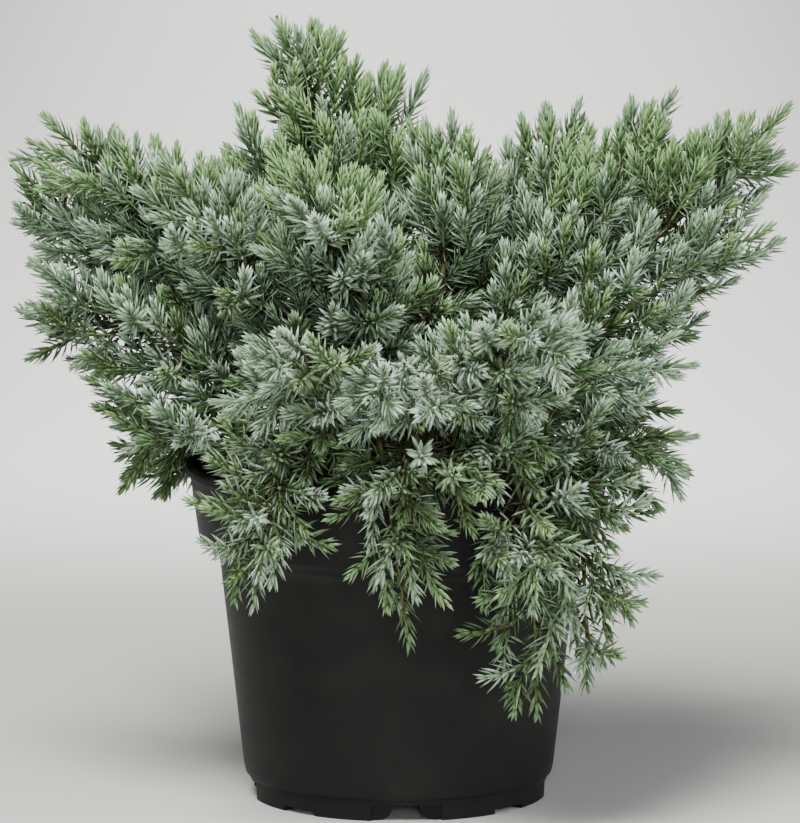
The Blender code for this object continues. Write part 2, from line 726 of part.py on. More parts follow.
def build_mass(index, mass, radii, space, leaf):
    """Core, stem and shoots, joined into one solid."""
    parts = bpy.data.collections.new(mass.name + "_parts")
    bpy.context.scene.collection.children.link(parts)

    def part(name, points, faces):
        obj = bpy.data.objects.new(name, mesh_from(name, points, faces))
        parts.objects.link(obj)

    points, faces = tube(mass.path, radii, CORE_SIDES, mass.path_frames)
    core = add_object(mass.name, mesh_from(mass.name, points, faces), leaf)
    count = max(5, round(SHOOTS_PER_AREA * mass.breadth * mass.length))
    for n, (start, end) in enumerate(mass.shoots(count)):
        share = min(1.0, max(0.0, (start - mass.start).length / mass.length))
        core_here = radii[min(STEM_RINGS - 1, round(share * (STEM_RINGS - 1)))]
        if n > 0:
            end = pull_back(space, index, start, end)
            if end is None or not shoot_fits(space, index, start, end):
                continue
        turn = mass.rng.uniform(0, math.radians(120))
        points, faces, made = shoot_mesh(index, start, end, core_here * 0.9, space, turn)
        part(f"{mass.name}_shoot_{n}", points, faces)
        space.keep_needles(made)
    join = core.modifiers.new("shoots", "BOOLEAN")
    join.operation = "UNION"
    join.solver = "MANIFOLD"
    join.operand_type = "COLLECTION"
    join.collection = parts
    bpy.context.view_layer.update()
    graph = bpy.context.evaluated_depsgraph_get()
    joined = bpy.data.meshes.new_from_object(core.evaluated_get(graph))
    core.modifiers.clear()
    core.data = joined
    for obj in list(parts.objects):
        bpy.data.objects.remove(obj, do_unlink=True)
    bpy.data.collections.remove(parts)
    return core


def main():
    clear_scene()
    build_pot()
    build_soil()
    bark = principled("bark", (0.110, 0.060, 0.035), 0.85)
    leaf = principled("needles", (0.130, 0.210, 0.150), 0.60)
    build_trunk(bark)
    masses = [Mass(row, 100 + k) for k, row in enumerate(MASSES)]
    limbs = [trunk_path()]
    for mass in masses:
        if mass.leaves:
            build_bough(mass.name + "_bough", mass.bough, bark)
            limbs.append((mass.bough, [BOUGH_RADIUS] * len(mass.bough)))
    space = Space(masses, limbs)
    cores = [core_radii(mass, masses, space, CORE_GAP) for mass in masses]
    space.place_cores(masses, cores)
    for index, mass in enumerate(masses):
        build_mass(index, mass, cores[index], space, leaf)


main()
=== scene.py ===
import math
import random

import bpy
import numpy as np
from mathutils import Matrix, Vector


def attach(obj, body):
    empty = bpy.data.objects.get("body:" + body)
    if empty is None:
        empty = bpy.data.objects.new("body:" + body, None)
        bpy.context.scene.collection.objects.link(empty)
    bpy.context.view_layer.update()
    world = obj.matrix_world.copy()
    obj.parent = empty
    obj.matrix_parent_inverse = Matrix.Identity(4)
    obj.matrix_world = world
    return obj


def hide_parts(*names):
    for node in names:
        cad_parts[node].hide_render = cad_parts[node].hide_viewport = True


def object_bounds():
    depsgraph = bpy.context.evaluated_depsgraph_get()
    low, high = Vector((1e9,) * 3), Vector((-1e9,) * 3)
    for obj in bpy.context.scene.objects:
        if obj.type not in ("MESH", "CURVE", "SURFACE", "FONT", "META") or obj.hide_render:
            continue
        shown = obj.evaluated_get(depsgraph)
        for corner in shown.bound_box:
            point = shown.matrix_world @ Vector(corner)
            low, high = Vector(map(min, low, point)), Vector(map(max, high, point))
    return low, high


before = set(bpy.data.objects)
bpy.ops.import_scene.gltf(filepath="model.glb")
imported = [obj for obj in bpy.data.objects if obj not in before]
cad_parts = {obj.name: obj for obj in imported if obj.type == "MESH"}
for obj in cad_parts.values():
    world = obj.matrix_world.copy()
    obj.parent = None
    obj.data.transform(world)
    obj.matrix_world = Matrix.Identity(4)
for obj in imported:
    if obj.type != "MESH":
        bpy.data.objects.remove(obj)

cad_low, cad_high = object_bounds()
UP = Vector((0, 0, 1))

# Camera and studio
# A long lens looks down on the plant by some nine degrees, as a catalogue photograph is taken. The plant
# stands on a pale matt floor, under one large soft light above and in front, with two fainter ones low in
# front and on the right.

CAMERA_RISE = math.radians(9.4)
CAMERA_AWAY = 4.0
CAMERA_AIM = Vector((0.0006, 0.0, 0.1724))
SENSOR = 36.0
LENS = 393.3


def srgb(code):
    """A hex colour as displays show it, as the linear numbers that a shader takes."""
    parts = [int(code[i:i + 2], 16) / 255 for i in (1, 3, 5)]
    return tuple(p / 12.92 if p <= 0.04045 else ((p + 0.055) / 1.055) ** 2.4 for p in parts)


def new_material(name, colour, roughness, ior=1.5, gloss=0.5):
    """A Principled material with its plain values set, and its node tree to add to.

    gloss is the share of light that a facing surface returns, against 0.5 for a clean polished one.
    """
    made = bpy.data.materials.new(name)
    made.use_nodes = True
    shader = made.node_tree.nodes["Principled BSDF"]
    shader.inputs["Base Color"].default_value = (*srgb(colour), 1)
    shader.inputs["Roughness"].default_value = roughness
    shader.inputs["IOR"].default_value = ior
    shader.inputs["Specular IOR Level"].default_value = gloss
    return made, made.node_tree, shader


def add_node(tree, kind, settings=None, inputs=None):
    """Adds one node. An input's value may be a number, a vector, or the output socket of another node."""
    node = tree.nodes.new(kind)
    for name, value in (settings or {}).items():
        setattr(node, name, value)
    for name, value in (inputs or {}).items():
        if isinstance(value, bpy.types.NodeSocket):
            tree.links.new(value, node.inputs[name])
        else:
            node.inputs[name].default_value = value
    return node


def noise(tree, lump, detail, distortion=0.0):
    """A noise pattern in the object's own coordinates, its lumps about so many metres across."""
    own = add_node(tree, "ShaderNodeTexCoord").outputs["Object"]
    inputs = {"Vector": own, "Scale": 1 / lump, "Detail": detail, "Distortion": distortion}
    return add_node(tree, "ShaderNodeTexNoise", None, inputs).outputs["Fac"]


def two_tone(tree, shader, pattern, *stops):
    """Colours a surface by a pattern. Each stop is a place in the pattern and a hex colour."""
    ramp = add_node(tree, "ShaderNodeValToRGB", None, {"Fac": pattern})
    for element, (position, colour) in zip(ramp.color_ramp.elements, stops):
        element.position = position
        element.color = (*srgb(colour), 1)
    tree.links.new(ramp.outputs["Color"], shader.inputs["Base Color"])


def bump(tree, shader, pattern, strength, depth):
    """Roughens how a surface takes the light, by a pattern so many metres deep."""
    inputs = {"Height": pattern, "Strength": strength, "Distance": depth}
    relief = add_node(tree, "ShaderNodeBump", None, inputs)
    tree.links.new(relief.outputs["Normal"], shader.inputs["Normal"])


def show(name, data):
    """An object for some data, put in the scene at the origin."""
    made = bpy.data.objects.new(name, data)
    bpy.context.scene.collection.objects.link(made)
    return made


def add_piece(name, points, faces, materials, face_materials=None, smooth=None):
    """A mesh object at the origin, shaded smooth up to an angle of smooth degrees between faces."""
    mesh = bpy.data.meshes.new(name)
    mesh.from_pydata([tuple(p) for p in points], [], [tuple(f) for f in faces])
    for material in materials:
        mesh.materials.append(material)
    if face_materials is not None:
        mesh.polygons.foreach_set("material_index", face_materials)
    if smooth:
        mesh.shade_smooth()
        mesh.set_sharp_from_angle(angle=math.radians(smooth))
    return show(name, mesh)


def soft_light(name, place, aim, width, power, colour):
    """A round softbox that faces a point."""
    lamp = bpy.data.lights.new(name, "AREA")
    lamp.shape = "DISK"
    lamp.size = width
    lamp.energy = power
    lamp.color = colour
    holder = show(name, lamp)
    holder.location = place
    holder.rotation_euler = (Vector(aim) - Vector(place)).to_track_quat("-Z", "Y").to_euler()


camera = bpy.data.cameras.new("camera")
camera.sensor_width = SENSOR
camera.lens = LENS
camera.clip_end = 20
camera_holder = show("camera", camera)
camera_back = Vector((0, -math.cos(CAMERA_RISE), math.sin(CAMERA_RISE)))
camera_holder.location = CAMERA_AIM + camera_back * CAMERA_AWAY
camera_holder.rotation_euler = (-camera_back).to_track_quat("-Z", "Y").to_euler()
bpy.context.scene.camera = camera_holder

floor_half = 4.0
# Matt white paint gives soft light back from below and shows no highlight
floor_material, _, _ = new_material("matt_white_paint", "#E0E0DE", 0.9)
floor = add_piece(
    "studio_floor",
    [(x * floor_half, y * floor_half, 0) for x, y in ((-1, -1), (1, -1), (1, 1), (-1, 1))],
    [(0, 1, 2, 3)],
    [floor_material],
)

world = bpy.data.worlds.new("studio")
world.use_nodes = True
world.node_tree.nodes["Background"].inputs["Color"].default_value = (1.0, 1.0, 1.0, 1)
world.node_tree.nodes["Background"].inputs["Strength"].default_value = 0.04
bpy.context.scene.world = world

soft_light("overhead_softbox", (-0.35, -0.75, 1.55), (0, 0, 0.24), 0.9, 51, (1.0, 0.99, 0.96))
soft_light("front_fill", (0.15, -2.0, 0.45), (0, 0, 0.12), 0.6, 16, (1.0, 1.0, 1.0))
soft_light("right_fill", (1.5, -0.4, 0.7), (0, 0, 0.2), 0.8, 13, (0.97, 0.99, 1.0))

# A long softbox with a grid hangs over the floor behind the plant, and lights the background alone
backdrop = bpy.data.lights.new("backdrop_softbox", "AREA")
backdrop.shape = "RECTANGLE"
backdrop.size = 0.7
backdrop.size_y = 2.7
backdrop.spread = math.radians(25)
backdrop.energy = 13
show("backdrop_softbox", backdrop).location = (0, 1.95, 1.6)

# Pot
# A round nursery container, injection moulded in black polypropylene with a thin wall, a wide stacking
# collar and a rolled lip. It stands on a notched skirt, and a notched ring inside that carries the base.

LIP_RADIUS = 0.0950
POT_HEIGHT = 0.1500
COLLAR_TOP = (0.0930, 0.1454)
COLLAR_FOOT = (0.0894, 0.1194)
BODY_TOP = (0.0806, 0.1137)
BODY_FOOT = (0.0692, 0.0140)
SKIRT_RADIUS = 0.0660
SKIRT_HEIGHT = 0.0092
WALL = 0.0013
FOOT_BAND_IN = 0.0595
FOOT_BAND_MIDDLE = 0.0622
BASE_UNDERSIDE = 0.0074
BASE_TOP = 0.0090
NOTCH_TURN = math.radians(3.0)
WIDE_NOTCH = (0.0312, 0.0073)
INNER_NOTCH = (0.0112, 0.0072, 0.0066)
LOW_NOTCH = (0.0180, 0.0023)
DRAIN_RADIUS = 0.0055
DRAIN_OUT = 0.0420
POT_STEPS = 144
POT_SHARP_FROM = 38
# How far the cutters run on past the plastic, along the floor and up or down
NOTCH_PAST = 0.004
CUT_PAST = 0.002
BAND_OVERLAP = 0.0001


def round_corner(before, corner, after, radius, steps=4):
    """The points of a round corner in an outline, as a curve that meets both of its sides."""
    corner, before, after = Vector(corner), Vector(before), Vector(after)
    back = min(radius, (before - corner).length * 0.45)
    ahead = min(radius, (after - corner).length * 0.45)
    start = corner + (before - corner).normalized() * back
    end = corner + (after - corner).normalized() * ahead
    points = []
    for k in range(steps + 1):
        t = k / steps
        points.append(start * (1 - t) ** 2 + corner * 2 * t * (1 - t) + end * t * t)
    return [tuple(p) for p in points]


def rounded(outline, radii):
    """An open outline with the corners between its ends rounded, each by its own radius."""
    points = [outline[0]]
    for before, corner, after, radius in zip(outline, outline[1:], outline[2:], radii):
        if radius:
            points += round_corner(before, corner, after, radius)
        else:
            points.append(corner)
    return points + [outline[-1]]


def turned(profile, steps):
    """Points and faces of a closed shape turned round +Z.

    The profile runs anticlockwise, with the radius to the right and the height up. A profile point on the
    axis is one shared point.
    """
    points, rings, faces = [], [], []
    for radius, height in profile:
        if radius == 0:
            rings.append([len(points)] * steps)
            points.append((0, 0, height))
            continue
        rings.append(range(len(points), len(points) + steps))
        turns = [2 * math.pi * i / steps for i in range(steps)]
        points += [(radius * math.cos(t), radius * math.sin(t), height) for t in turns]
    for low, high in zip(rings, rings[1:] + rings[:1]):
        if low[0] == low[1] and high[0] == high[1]:
            continue
        for i in range(steps):
            j = (i + 1) % steps
            faces.append(tuple(dict.fromkeys((low[i], low[j], high[j], high[i]))))
    return points, faces


def notch(width, height, near, far, turn, flare=0.0):
    """A cutter for one notch, open to the floor: an outline drawn across, run outwards, and turned."""
    steps = 6
    half = width / 2
    right = [(half + flare, -CUT_PAST)]
    for k in range(steps, -1, -1):
        bend = math.pi / 2 * k / steps
        right.append((half + flare * (1 - math.cos(bend)), height * (1 - math.sin(bend))))
    if not flare:
        right = [(half, -CUT_PAST), (half, height)]
    outline = right + [(-across, up) for across, up in reversed(right)]
    spin = Matrix.Rotation(turn, 3, "Z")
    count = len(outline)
    points = [spin @ Vector((out, across, up)) for out in (near, far) for across, up in outline]
    faces = [tuple(range(count))[::-1], tuple(range(count, 2 * count))]
    faces += [(i, (i + 1) % count, (i + 1) % count + count, i + count) for i in range(count)]
    return points, faces


def round_cutter(centre, radius, low, high, steps=32):
    """A cutter for one round hole."""
    points, faces = turned([(0, low), (radius, low), (radius, high), (0, high)], steps)
    return [Vector(p) + centre for p in points], faces


def cut(piece, name, solids):
    """Takes several solids, none of which meet, out of a piece, and leaves it a plain mesh."""
    points, faces = [], []
    for more_points, more_faces in solids:
        start = len(points)
        points += more_points
        faces += [[start + i for i in face] for face in more_faces]
    cutter = add_piece(name, points, faces, [])
    boolean = piece.modifiers.new(name, "BOOLEAN")
    boolean.operation = "DIFFERENCE"
    boolean.solver = "EXACT"
    boolean.object = cutter
    graph = bpy.context.evaluated_depsgraph_get()
    made = bpy.data.meshes.new_from_object(piece.evaluated_get(graph))
    piece.modifiers.clear()
    piece.data = made
    bpy.data.objects.remove(cutter)


# Injection-moulded polypropylene, coloured with carbon black: a satin skin, a little rough from the mould,
# with fine scuffs round it from stacking. Soft broad highlights run down it.
pot_plastic, tree, shader = new_material("black_polypropylene", "#1F1F1F", 0.45, 1.49, 0.05)
# The mould's spark-eroded grain is about 0.4 mm across
bump(tree, shader, noise(tree, 0.0004, 2.0), 0.12, 0.0001)
# The scuffs are some 30 mm long and 1.2 mm high
scuff_stretch = add_node(
    tree, "ShaderNodeMapping", None,
    {
        "Vector": add_node(tree, "ShaderNodeTexCoord").outputs["Object"],
        "Scale": (1 / 0.030, 1 / 0.030, 1 / 0.0012),
    },
)
scuffs = add_node(
    tree, "ShaderNodeTexNoise", None,
    {"Vector": scuff_stretch.outputs["Vector"], "Scale": 1.0, "Detail": 5.0},
)
scuff_rough = add_node(
    tree, "ShaderNodeMapRange", None,
    {"Value": scuffs.outputs["Fac"], "From Min": 0.35, "From Max": 0.75, "To Min": 0.42, "To Max": 0.48},
)
tree.links.new(scuff_rough.outputs["Result"], shader.inputs["Roughness"])
# A little dust lies on it in patches some 20 mm across
dust_amount = add_node(
    tree, "ShaderNodeMapRange", None,
    {"Value": noise(tree, 0.020, 4.0), "From Min": 0.45, "From Max": 0.80},
)
dusty = add_node(
    tree, "ShaderNodeMix", {"data_type": "RGBA"},
    {"Factor": dust_amount.outputs["Result"], "A": (*srgb("#202020"), 1), "B": (*srgb("#262625"), 1)},
)
tree.links.new(dusty.outputs["Result"], shader.inputs["Base Color"])

pot_outside = rounded(
    [
        (FOOT_BAND_IN, 0.0),
        (SKIRT_RADIUS, 0.0),
        (SKIRT_RADIUS + 0.0004, SKIRT_HEIGHT),
        (BODY_FOOT[0] - 0.0008, SKIRT_HEIGHT + 0.0012),
        BODY_FOOT,
        (BODY_TOP[0] - 0.0004, BODY_TOP[1] - 0.0030),
        (COLLAR_FOOT[0] - 0.0006, BODY_TOP[1] + 0.0022),
        COLLAR_FOOT,
        COLLAR_TOP,
        (LIP_RADIUS, COLLAR_TOP[1] + 0.0004),
        (LIP_RADIUS, POT_HEIGHT),
        (COLLAR_TOP[0] - WALL, POT_HEIGHT),
        (COLLAR_FOOT[0] - WALL, COLLAR_FOOT[1] + WALL),
    ],
    [0.0006, 0.0006, 0.0006, 0.0012, 0.0040, 0.0050, 0.0022, 0.0005, 0.0008, 0.0013, 0.0006],
)
pot_inside = [
    (BODY_TOP[0] - WALL, BODY_TOP[1] + WALL),
    (BODY_FOOT[0] - WALL, BODY_FOOT[1]),
    (SKIRT_RADIUS - WALL, BASE_TOP),
    (0.0, BASE_TOP),
    (0.0, BASE_UNDERSIDE),
    (FOOT_BAND_IN, BASE_UNDERSIDE),
]
pot_points, pot_faces = turned(pot_outside + pot_inside, POT_STEPS)
pot = add_piece("nursery_pot", pot_points, pot_faces, [pot_plastic])
skirt_notches, band_notches = [], []
for quarter in range(4):
    turn = NOTCH_TURN + (quarter - 1) * math.pi / 2
    beyond, inside = SKIRT_RADIUS + NOTCH_PAST, FOOT_BAND_IN - NOTCH_PAST
    drain = Matrix.Rotation(turn, 3, "Z") @ Vector((DRAIN_OUT, 0, 0))
    skirt_notches.append(notch(*WIDE_NOTCH, FOOT_BAND_MIDDLE, beyond, turn))
    skirt_notches.append(notch(*LOW_NOTCH, inside, beyond, turn + math.pi / 4))
    skirt_notches.append(round_cutter(drain, DRAIN_RADIUS, BASE_UNDERSIDE - CUT_PAST, BASE_TOP + CUT_PAST))
    outside = FOOT_BAND_MIDDLE + BAND_OVERLAP
    band_notches.append(notch(INNER_NOTCH[0], INNER_NOTCH[1], inside, outside, turn, INNER_NOTCH[2]))
cut(pot, "skirt_notches", skirt_notches)
cut(pot, "band_notches", band_notches)
pot.data.shade_smooth()
pot.data.set_sharp_from_angle(angle=math.radians(POT_SHARP_FROM))
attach(pot, "root")
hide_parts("pot")

# Potting soil
# Moist dark brown peat with fine bark, filled to a finger's breadth below the lip and settled into lumps.
# Crumbs lie loose on it.

SOIL_FOOT = 0.0096
SOIL_RIM = 0.1405
SOIL_MIDDLE = 0.1424
SOIL_RINGS = 36
SOIL_STEPS = 96
# Gaps to the pot's wall at the foot, in the body and at the top
SOIL_FOOT_GAP = 0.0010
SOIL_WALL_GAP = 0.0006
SOIL_RIM_GAP = 0.0004
# The top's swells: how many waves cross it, how close they are in radians a metre, and how high
SWELL_WAVES = 14
SWELL_PITCH = (60, 420)
SWELL_HEIGHT = 0.0022
SWELL_SINK = 0.0006
LEVEL_ROUND_TRUNK = 0.012
CRUMB_SIZE = 0.0024
CRUMB_LEAST = (0.35, 0.2, 0.2)
CRUMB_MOST = (1.2, 0.7, 0.6)
CRUMB_DENSITY = 90000.0
CRUMB_LIFT = 0.0002


def inner_wall(height):
    """The pot's inner radius in its collar, at a height."""
    share = (height - COLLAR_FOOT[1]) / (POT_HEIGHT - COLLAR_FOOT[1])
    return COLLAR_FOOT[0] - WALL + (COLLAR_TOP[0] - COLLAR_FOOT[0]) * share


# Peat is almost black where it is wet and a warm brown where it has dried
peat, tree, shader = new_material("moist_peat", "#2B1A12", 0.95)
lumps = noise(tree, 0.004, 6.0)
two_tone(tree, shader, lumps, (0.35, "#160D09"), (0.70, "#4A2E1F"))
bump(tree, shader, lumps, 0.6, 0.001)

soil_outer = inner_wall(SOIL_RIM) - SOIL_RIM_GAP
soil_profile = [
    (0.0, SOIL_FOOT),
    (SKIRT_RADIUS - WALL - SOIL_FOOT_GAP, SOIL_FOOT),
    (BODY_FOOT[0] - WALL - SOIL_WALL_GAP, BODY_FOOT[1]),
    (BODY_TOP[0] - WALL - SOIL_WALL_GAP, BODY_TOP[1] + WALL),
    (COLLAR_FOOT[0] - WALL - SOIL_WALL_GAP, COLLAR_FOOT[1] + WALL),
]
soil_profile += [
    (soil_outer * (1 - k / SOIL_RINGS), SOIL_RIM + (SOIL_MIDDLE - SOIL_RIM) * math.sqrt(k / SOIL_RINGS))
    for k in range(SOIL_RINGS)
]
soil_profile.append((0.0, SOIL_MIDDLE))
soil_points, soil_faces = turned(soil_profile, SOIL_STEPS)
soil_rng = np.random.default_rng(5)
waves = []
for _ in range(SWELL_WAVES):
    pitch = soil_rng.uniform(*SWELL_PITCH, 2) * soil_rng.choice([-1, 1], 2)
    waves.append((pitch, soil_rng.uniform(0, 6.3)))
lumpy = []
for x, y, z in soil_points:
    if z > SOIL_RIM - 0.001 and math.hypot(x, y) > LEVEL_ROUND_TRUNK:
        swell = sum(math.sin(pitch[0] * x + pitch[1] * y + phase) for pitch, phase in waves) / len(waves)
        z += SWELL_HEIGHT * swell - SWELL_SINK
    lumpy.append((x, y, z))
soil = add_piece("potting_soil_bed", lumpy, soil_faces, [peat], smooth=50)

crumbs = bpy.data.node_groups.new("peat crumbs", "GeometryNodeTree")
crumbs.interface.new_socket("Geometry", in_out="INPUT", socket_type="NodeSocketGeometry")
crumbs.interface.new_socket("Geometry", in_out="OUTPUT", socket_type="NodeSocketGeometry")
size_socket = crumbs.interface.new_socket("Crumb size", in_out="INPUT", socket_type="NodeSocketFloat")
density_socket = crumbs.interface.new_socket(
    "Crumbs per square metre", in_out="INPUT", socket_type="NodeSocketFloat"
)
group_in = add_node(crumbs, "NodeGroupInput")
height_of = add_node(crumbs, "GeometryNodeInputPosition")
split_height = add_node(crumbs, "ShaderNodeSeparateXYZ", None, {"Vector": height_of.outputs["Position"]})
on_top = add_node(
    crumbs, "FunctionNodeCompare", {"data_type": "FLOAT", "operation": "GREATER_THAN"},
    {"A": split_height.outputs["Z"], "B": SOIL_RIM - 0.002},
)
scatter = add_node(
    crumbs,
    "GeometryNodeDistributePointsOnFaces",
    None,
    {
        "Mesh": group_in.outputs["Geometry"],
        "Selection": on_top.outputs["Result"],
        "Density": group_in.outputs["Crumbs per square metre"],
        "Seed": 7,
    },
)
crumb_shape = add_node(crumbs, "GeometryNodeMeshIcoSphere", None, {"Radius": 0.5, "Subdivisions": 1})
crumb_scale = add_node(
    crumbs, "FunctionNodeRandomValue", {"data_type": "FLOAT_VECTOR"},
    {"Min": CRUMB_LEAST, "Max": CRUMB_MOST, "Seed": 11},
)
crumb_turn = add_node(
    crumbs, "FunctionNodeRandomValue", {"data_type": "FLOAT_VECTOR"},
    {"Min": (0, 0, 0), "Max": (6.28, 6.28, 6.28), "Seed": 13},
)
sized = add_node(
    crumbs, "ShaderNodeVectorMath", {"operation": "SCALE"},
    {"Vector": crumb_scale.outputs["Value"], "Scale": group_in.outputs["Crumb size"]},
)
spread = add_node(
    crumbs,
    "GeometryNodeInstanceOnPoints",
    None,
    {
        "Points": scatter.outputs["Points"],
        "Instance": crumb_shape.outputs["Mesh"],
        "Rotation": crumb_turn.outputs["Value"],
        "Scale": sized.outputs["Vector"],
    },
)
lift = add_node(
    crumbs, "GeometryNodeTranslateInstances", None,
    {"Instances": spread.outputs["Instances"], "Translation": (0, 0, CRUMB_LIFT)},
)
both = add_node(crumbs, "GeometryNodeJoinGeometry")
crumbs.links.new(lift.outputs["Instances"], both.inputs["Geometry"])
crumbs.links.new(group_in.outputs["Geometry"], both.inputs["Geometry"])
real = add_node(crumbs, "GeometryNodeRealizeInstances", None, {"Geometry": both.outputs["Geometry"]})
finish_crumbs = add_node(
    crumbs, "GeometryNodeSetMaterial", None,
    {"Geometry": real.outputs["Geometry"], "Material": peat},
)
add_node(crumbs, "NodeGroupOutput", None, {"Geometry": finish_crumbs.outputs["Geometry"]})
scattering = soil.modifiers.new("crumbs", "NODES")
scattering.node_group = crumbs
scattering[size_socket.identifier] = CRUMB_SIZE
scattering[density_socket.identifier] = CRUMB_DENSITY
graph = bpy.context.evaluated_depsgraph_get()
soil_mesh = bpy.data.meshes.new_from_object(soil.evaluated_get(graph))
soil.modifiers.clear()
soil.data = soil_mesh
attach(soil, "root")
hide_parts("potting_soil")

# Trunk
# One short stem of green wood with thin brown bark that flakes lengthwise. It flares a little at the soil
# and leans gently left and back.

TRUNK_FOOT = 0.1429
TRUNK_TIP = 0.2060
TRUNK_RADIUS = 0.0064
TRUNK_TIP_RADIUS = 0.0042
TRUNK_FLARE_RADIUS = 0.0105
TRUNK_FLARE_HEIGHT = 0.0060
TRUNK_LEAN = Vector((-0.0055, 0.0030, 0))
TRUNK_RINGS = 44
TRUNK_SIDES = 36
# The bark's furrows, as a share of the radius: waves round the stem, how far they wander, and fine ripples
TRUNK_FURROWS = 0.07
FURROW_WAVES = (3, 5, 7, 8, 11)
FURROW_DRIFT = 90
RIPPLE_PITCH = 900
RIPPLE_SHARE = 0.35
BARK_MEAN = 0.98


def blend(a, b, share):
    """What lies at a share of the way from a to b."""
    return a + (b - a) * share


def bezier(start, middle, end, share):
    """A point on the curve that leaves start towards middle and comes to end from it."""
    return blend(blend(start, middle, share), blend(middle, end, share), share)


def frames_along(path):
    """A tangent and two normals at each point of a path, carried along it without twisting."""
    tangents = []
    for i in range(len(path)):
        tangents.append((path[min(i + 1, len(path) - 1)] - path[max(i - 1, 0)]).normalized())
    side = tangents[0].orthogonal().normalized()
    frames = []
    for tangent in tangents:
        side = (side - tangent * side.dot(tangent)).normalized()
        frames.append((tangent, side, tangent.cross(side)))
    return frames


def tube(path, radii, sides, relief=None):
    """Points and faces of a closed tube.

    relief gives a share of the radius to add, from the distance along the path and the turn round it.
    """
    points, faces = [], []
    gone = 0.0
    for k, (centre, radius, (_, side, across)) in enumerate(zip(path, radii, frames_along(path))):
        gone += (path[k] - path[k - 1]).length if k else 0.0
        for i in range(sides):
            turn = 2 * math.pi * i / sides
            swell = 1 + relief(gone, turn) if relief else 1
            points.append(centre + (side * math.cos(turn) + across * math.sin(turn)) * radius * swell)
        if k:
            low, high = (k - 1) * sides, k * sides
            for i in range(sides):
                j = (i + 1) % sides
                faces.append((low + i, low + j, high + j, high + i))
    faces.append(tuple(range(sides))[::-1])
    faces.append(tuple(range(len(points) - sides, len(points))))
    return points, faces


def trunk_centre(height):
    share = (height - TRUNK_FOOT) / (TRUNK_TIP - TRUNK_FOOT)
    return Vector((0, 0, height)) + TRUNK_LEAN * share * share


def trunk_radius(height):
    share = (height - TRUNK_FOOT) / (TRUNK_TIP - TRUNK_FOOT)
    flare = max(0.0, 1 - (height - TRUNK_FOOT) / TRUNK_FLARE_HEIGHT)
    foot_swell = (TRUNK_FLARE_RADIUS - TRUNK_RADIUS) * flare * flare
    return blend(TRUNK_RADIUS, TRUNK_TIP_RADIUS, share) + foot_swell


def bark_relief(seed, depth):
    """Long plates and furrows: waves round the stem that wander as they go along it."""
    rng = random.Random(seed)
    waves = [(k, rng.uniform(0, 6.3), rng.uniform(-FURROW_DRIFT, FURROW_DRIFT)) for k in FURROW_WAVES]

    def swell(along, turn):
        total = sum(math.sin(k * turn + phase + drift * along) / math.sqrt(k) for k, phase, drift in waves)
        ripple = math.sin(along * RIPPLE_PITCH + 3 * math.sin(2 * turn)) * RIPPLE_SHARE
        return depth * (total + ripple) / 2

    return swell


# Thin flaking bark, rust brown with grey scales; furrows run along the limb
bark, tree, shader = new_material("juniper_bark", "#6B4A35", 0.88)
flakes = noise(tree, 0.0016, 6.0, 0.8)
two_tone(tree, shader, flakes, (0.33, "#3A2519"), (0.68, "#94745A"))
bump(tree, shader, flakes, 0.7, 0.0005)

trunk_heights = [blend(TRUNK_FOOT, TRUNK_TIP, k / (TRUNK_RINGS - 1)) for k in range(TRUNK_RINGS)]
trunk_points, trunk_faces = tube(
    [trunk_centre(h) for h in trunk_heights],
    [trunk_radius(h) * BARK_MEAN for h in trunk_heights],
    TRUNK_SIDES,
    bark_relief(3, TRUNK_FURROWS),
)
trunk = add_piece("trunk_bark", trunk_points, trunk_faces, [bark], smooth=60)
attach(trunk, "root")
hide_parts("trunk")

# Boughs
# Slender limbs of the trunk's own wood, which leave it one above another all the way round. Each grows out
# of the bark and carries one mass of foliage.

BOUGH_RADIUS = 0.0022
BOUGH_TIP_RADIUS = 0.0015
BOUGH_ROOT_SWELL = 1.25
BOUGH_SET_IN = 0.9
BOUGH_STRAIGHT = 0.45
BOUGH_RISE = 0.25
BOUGH_RINGS = 26
BOUGH_SIDES = 14
BOUGH_FURROWS = 0.09
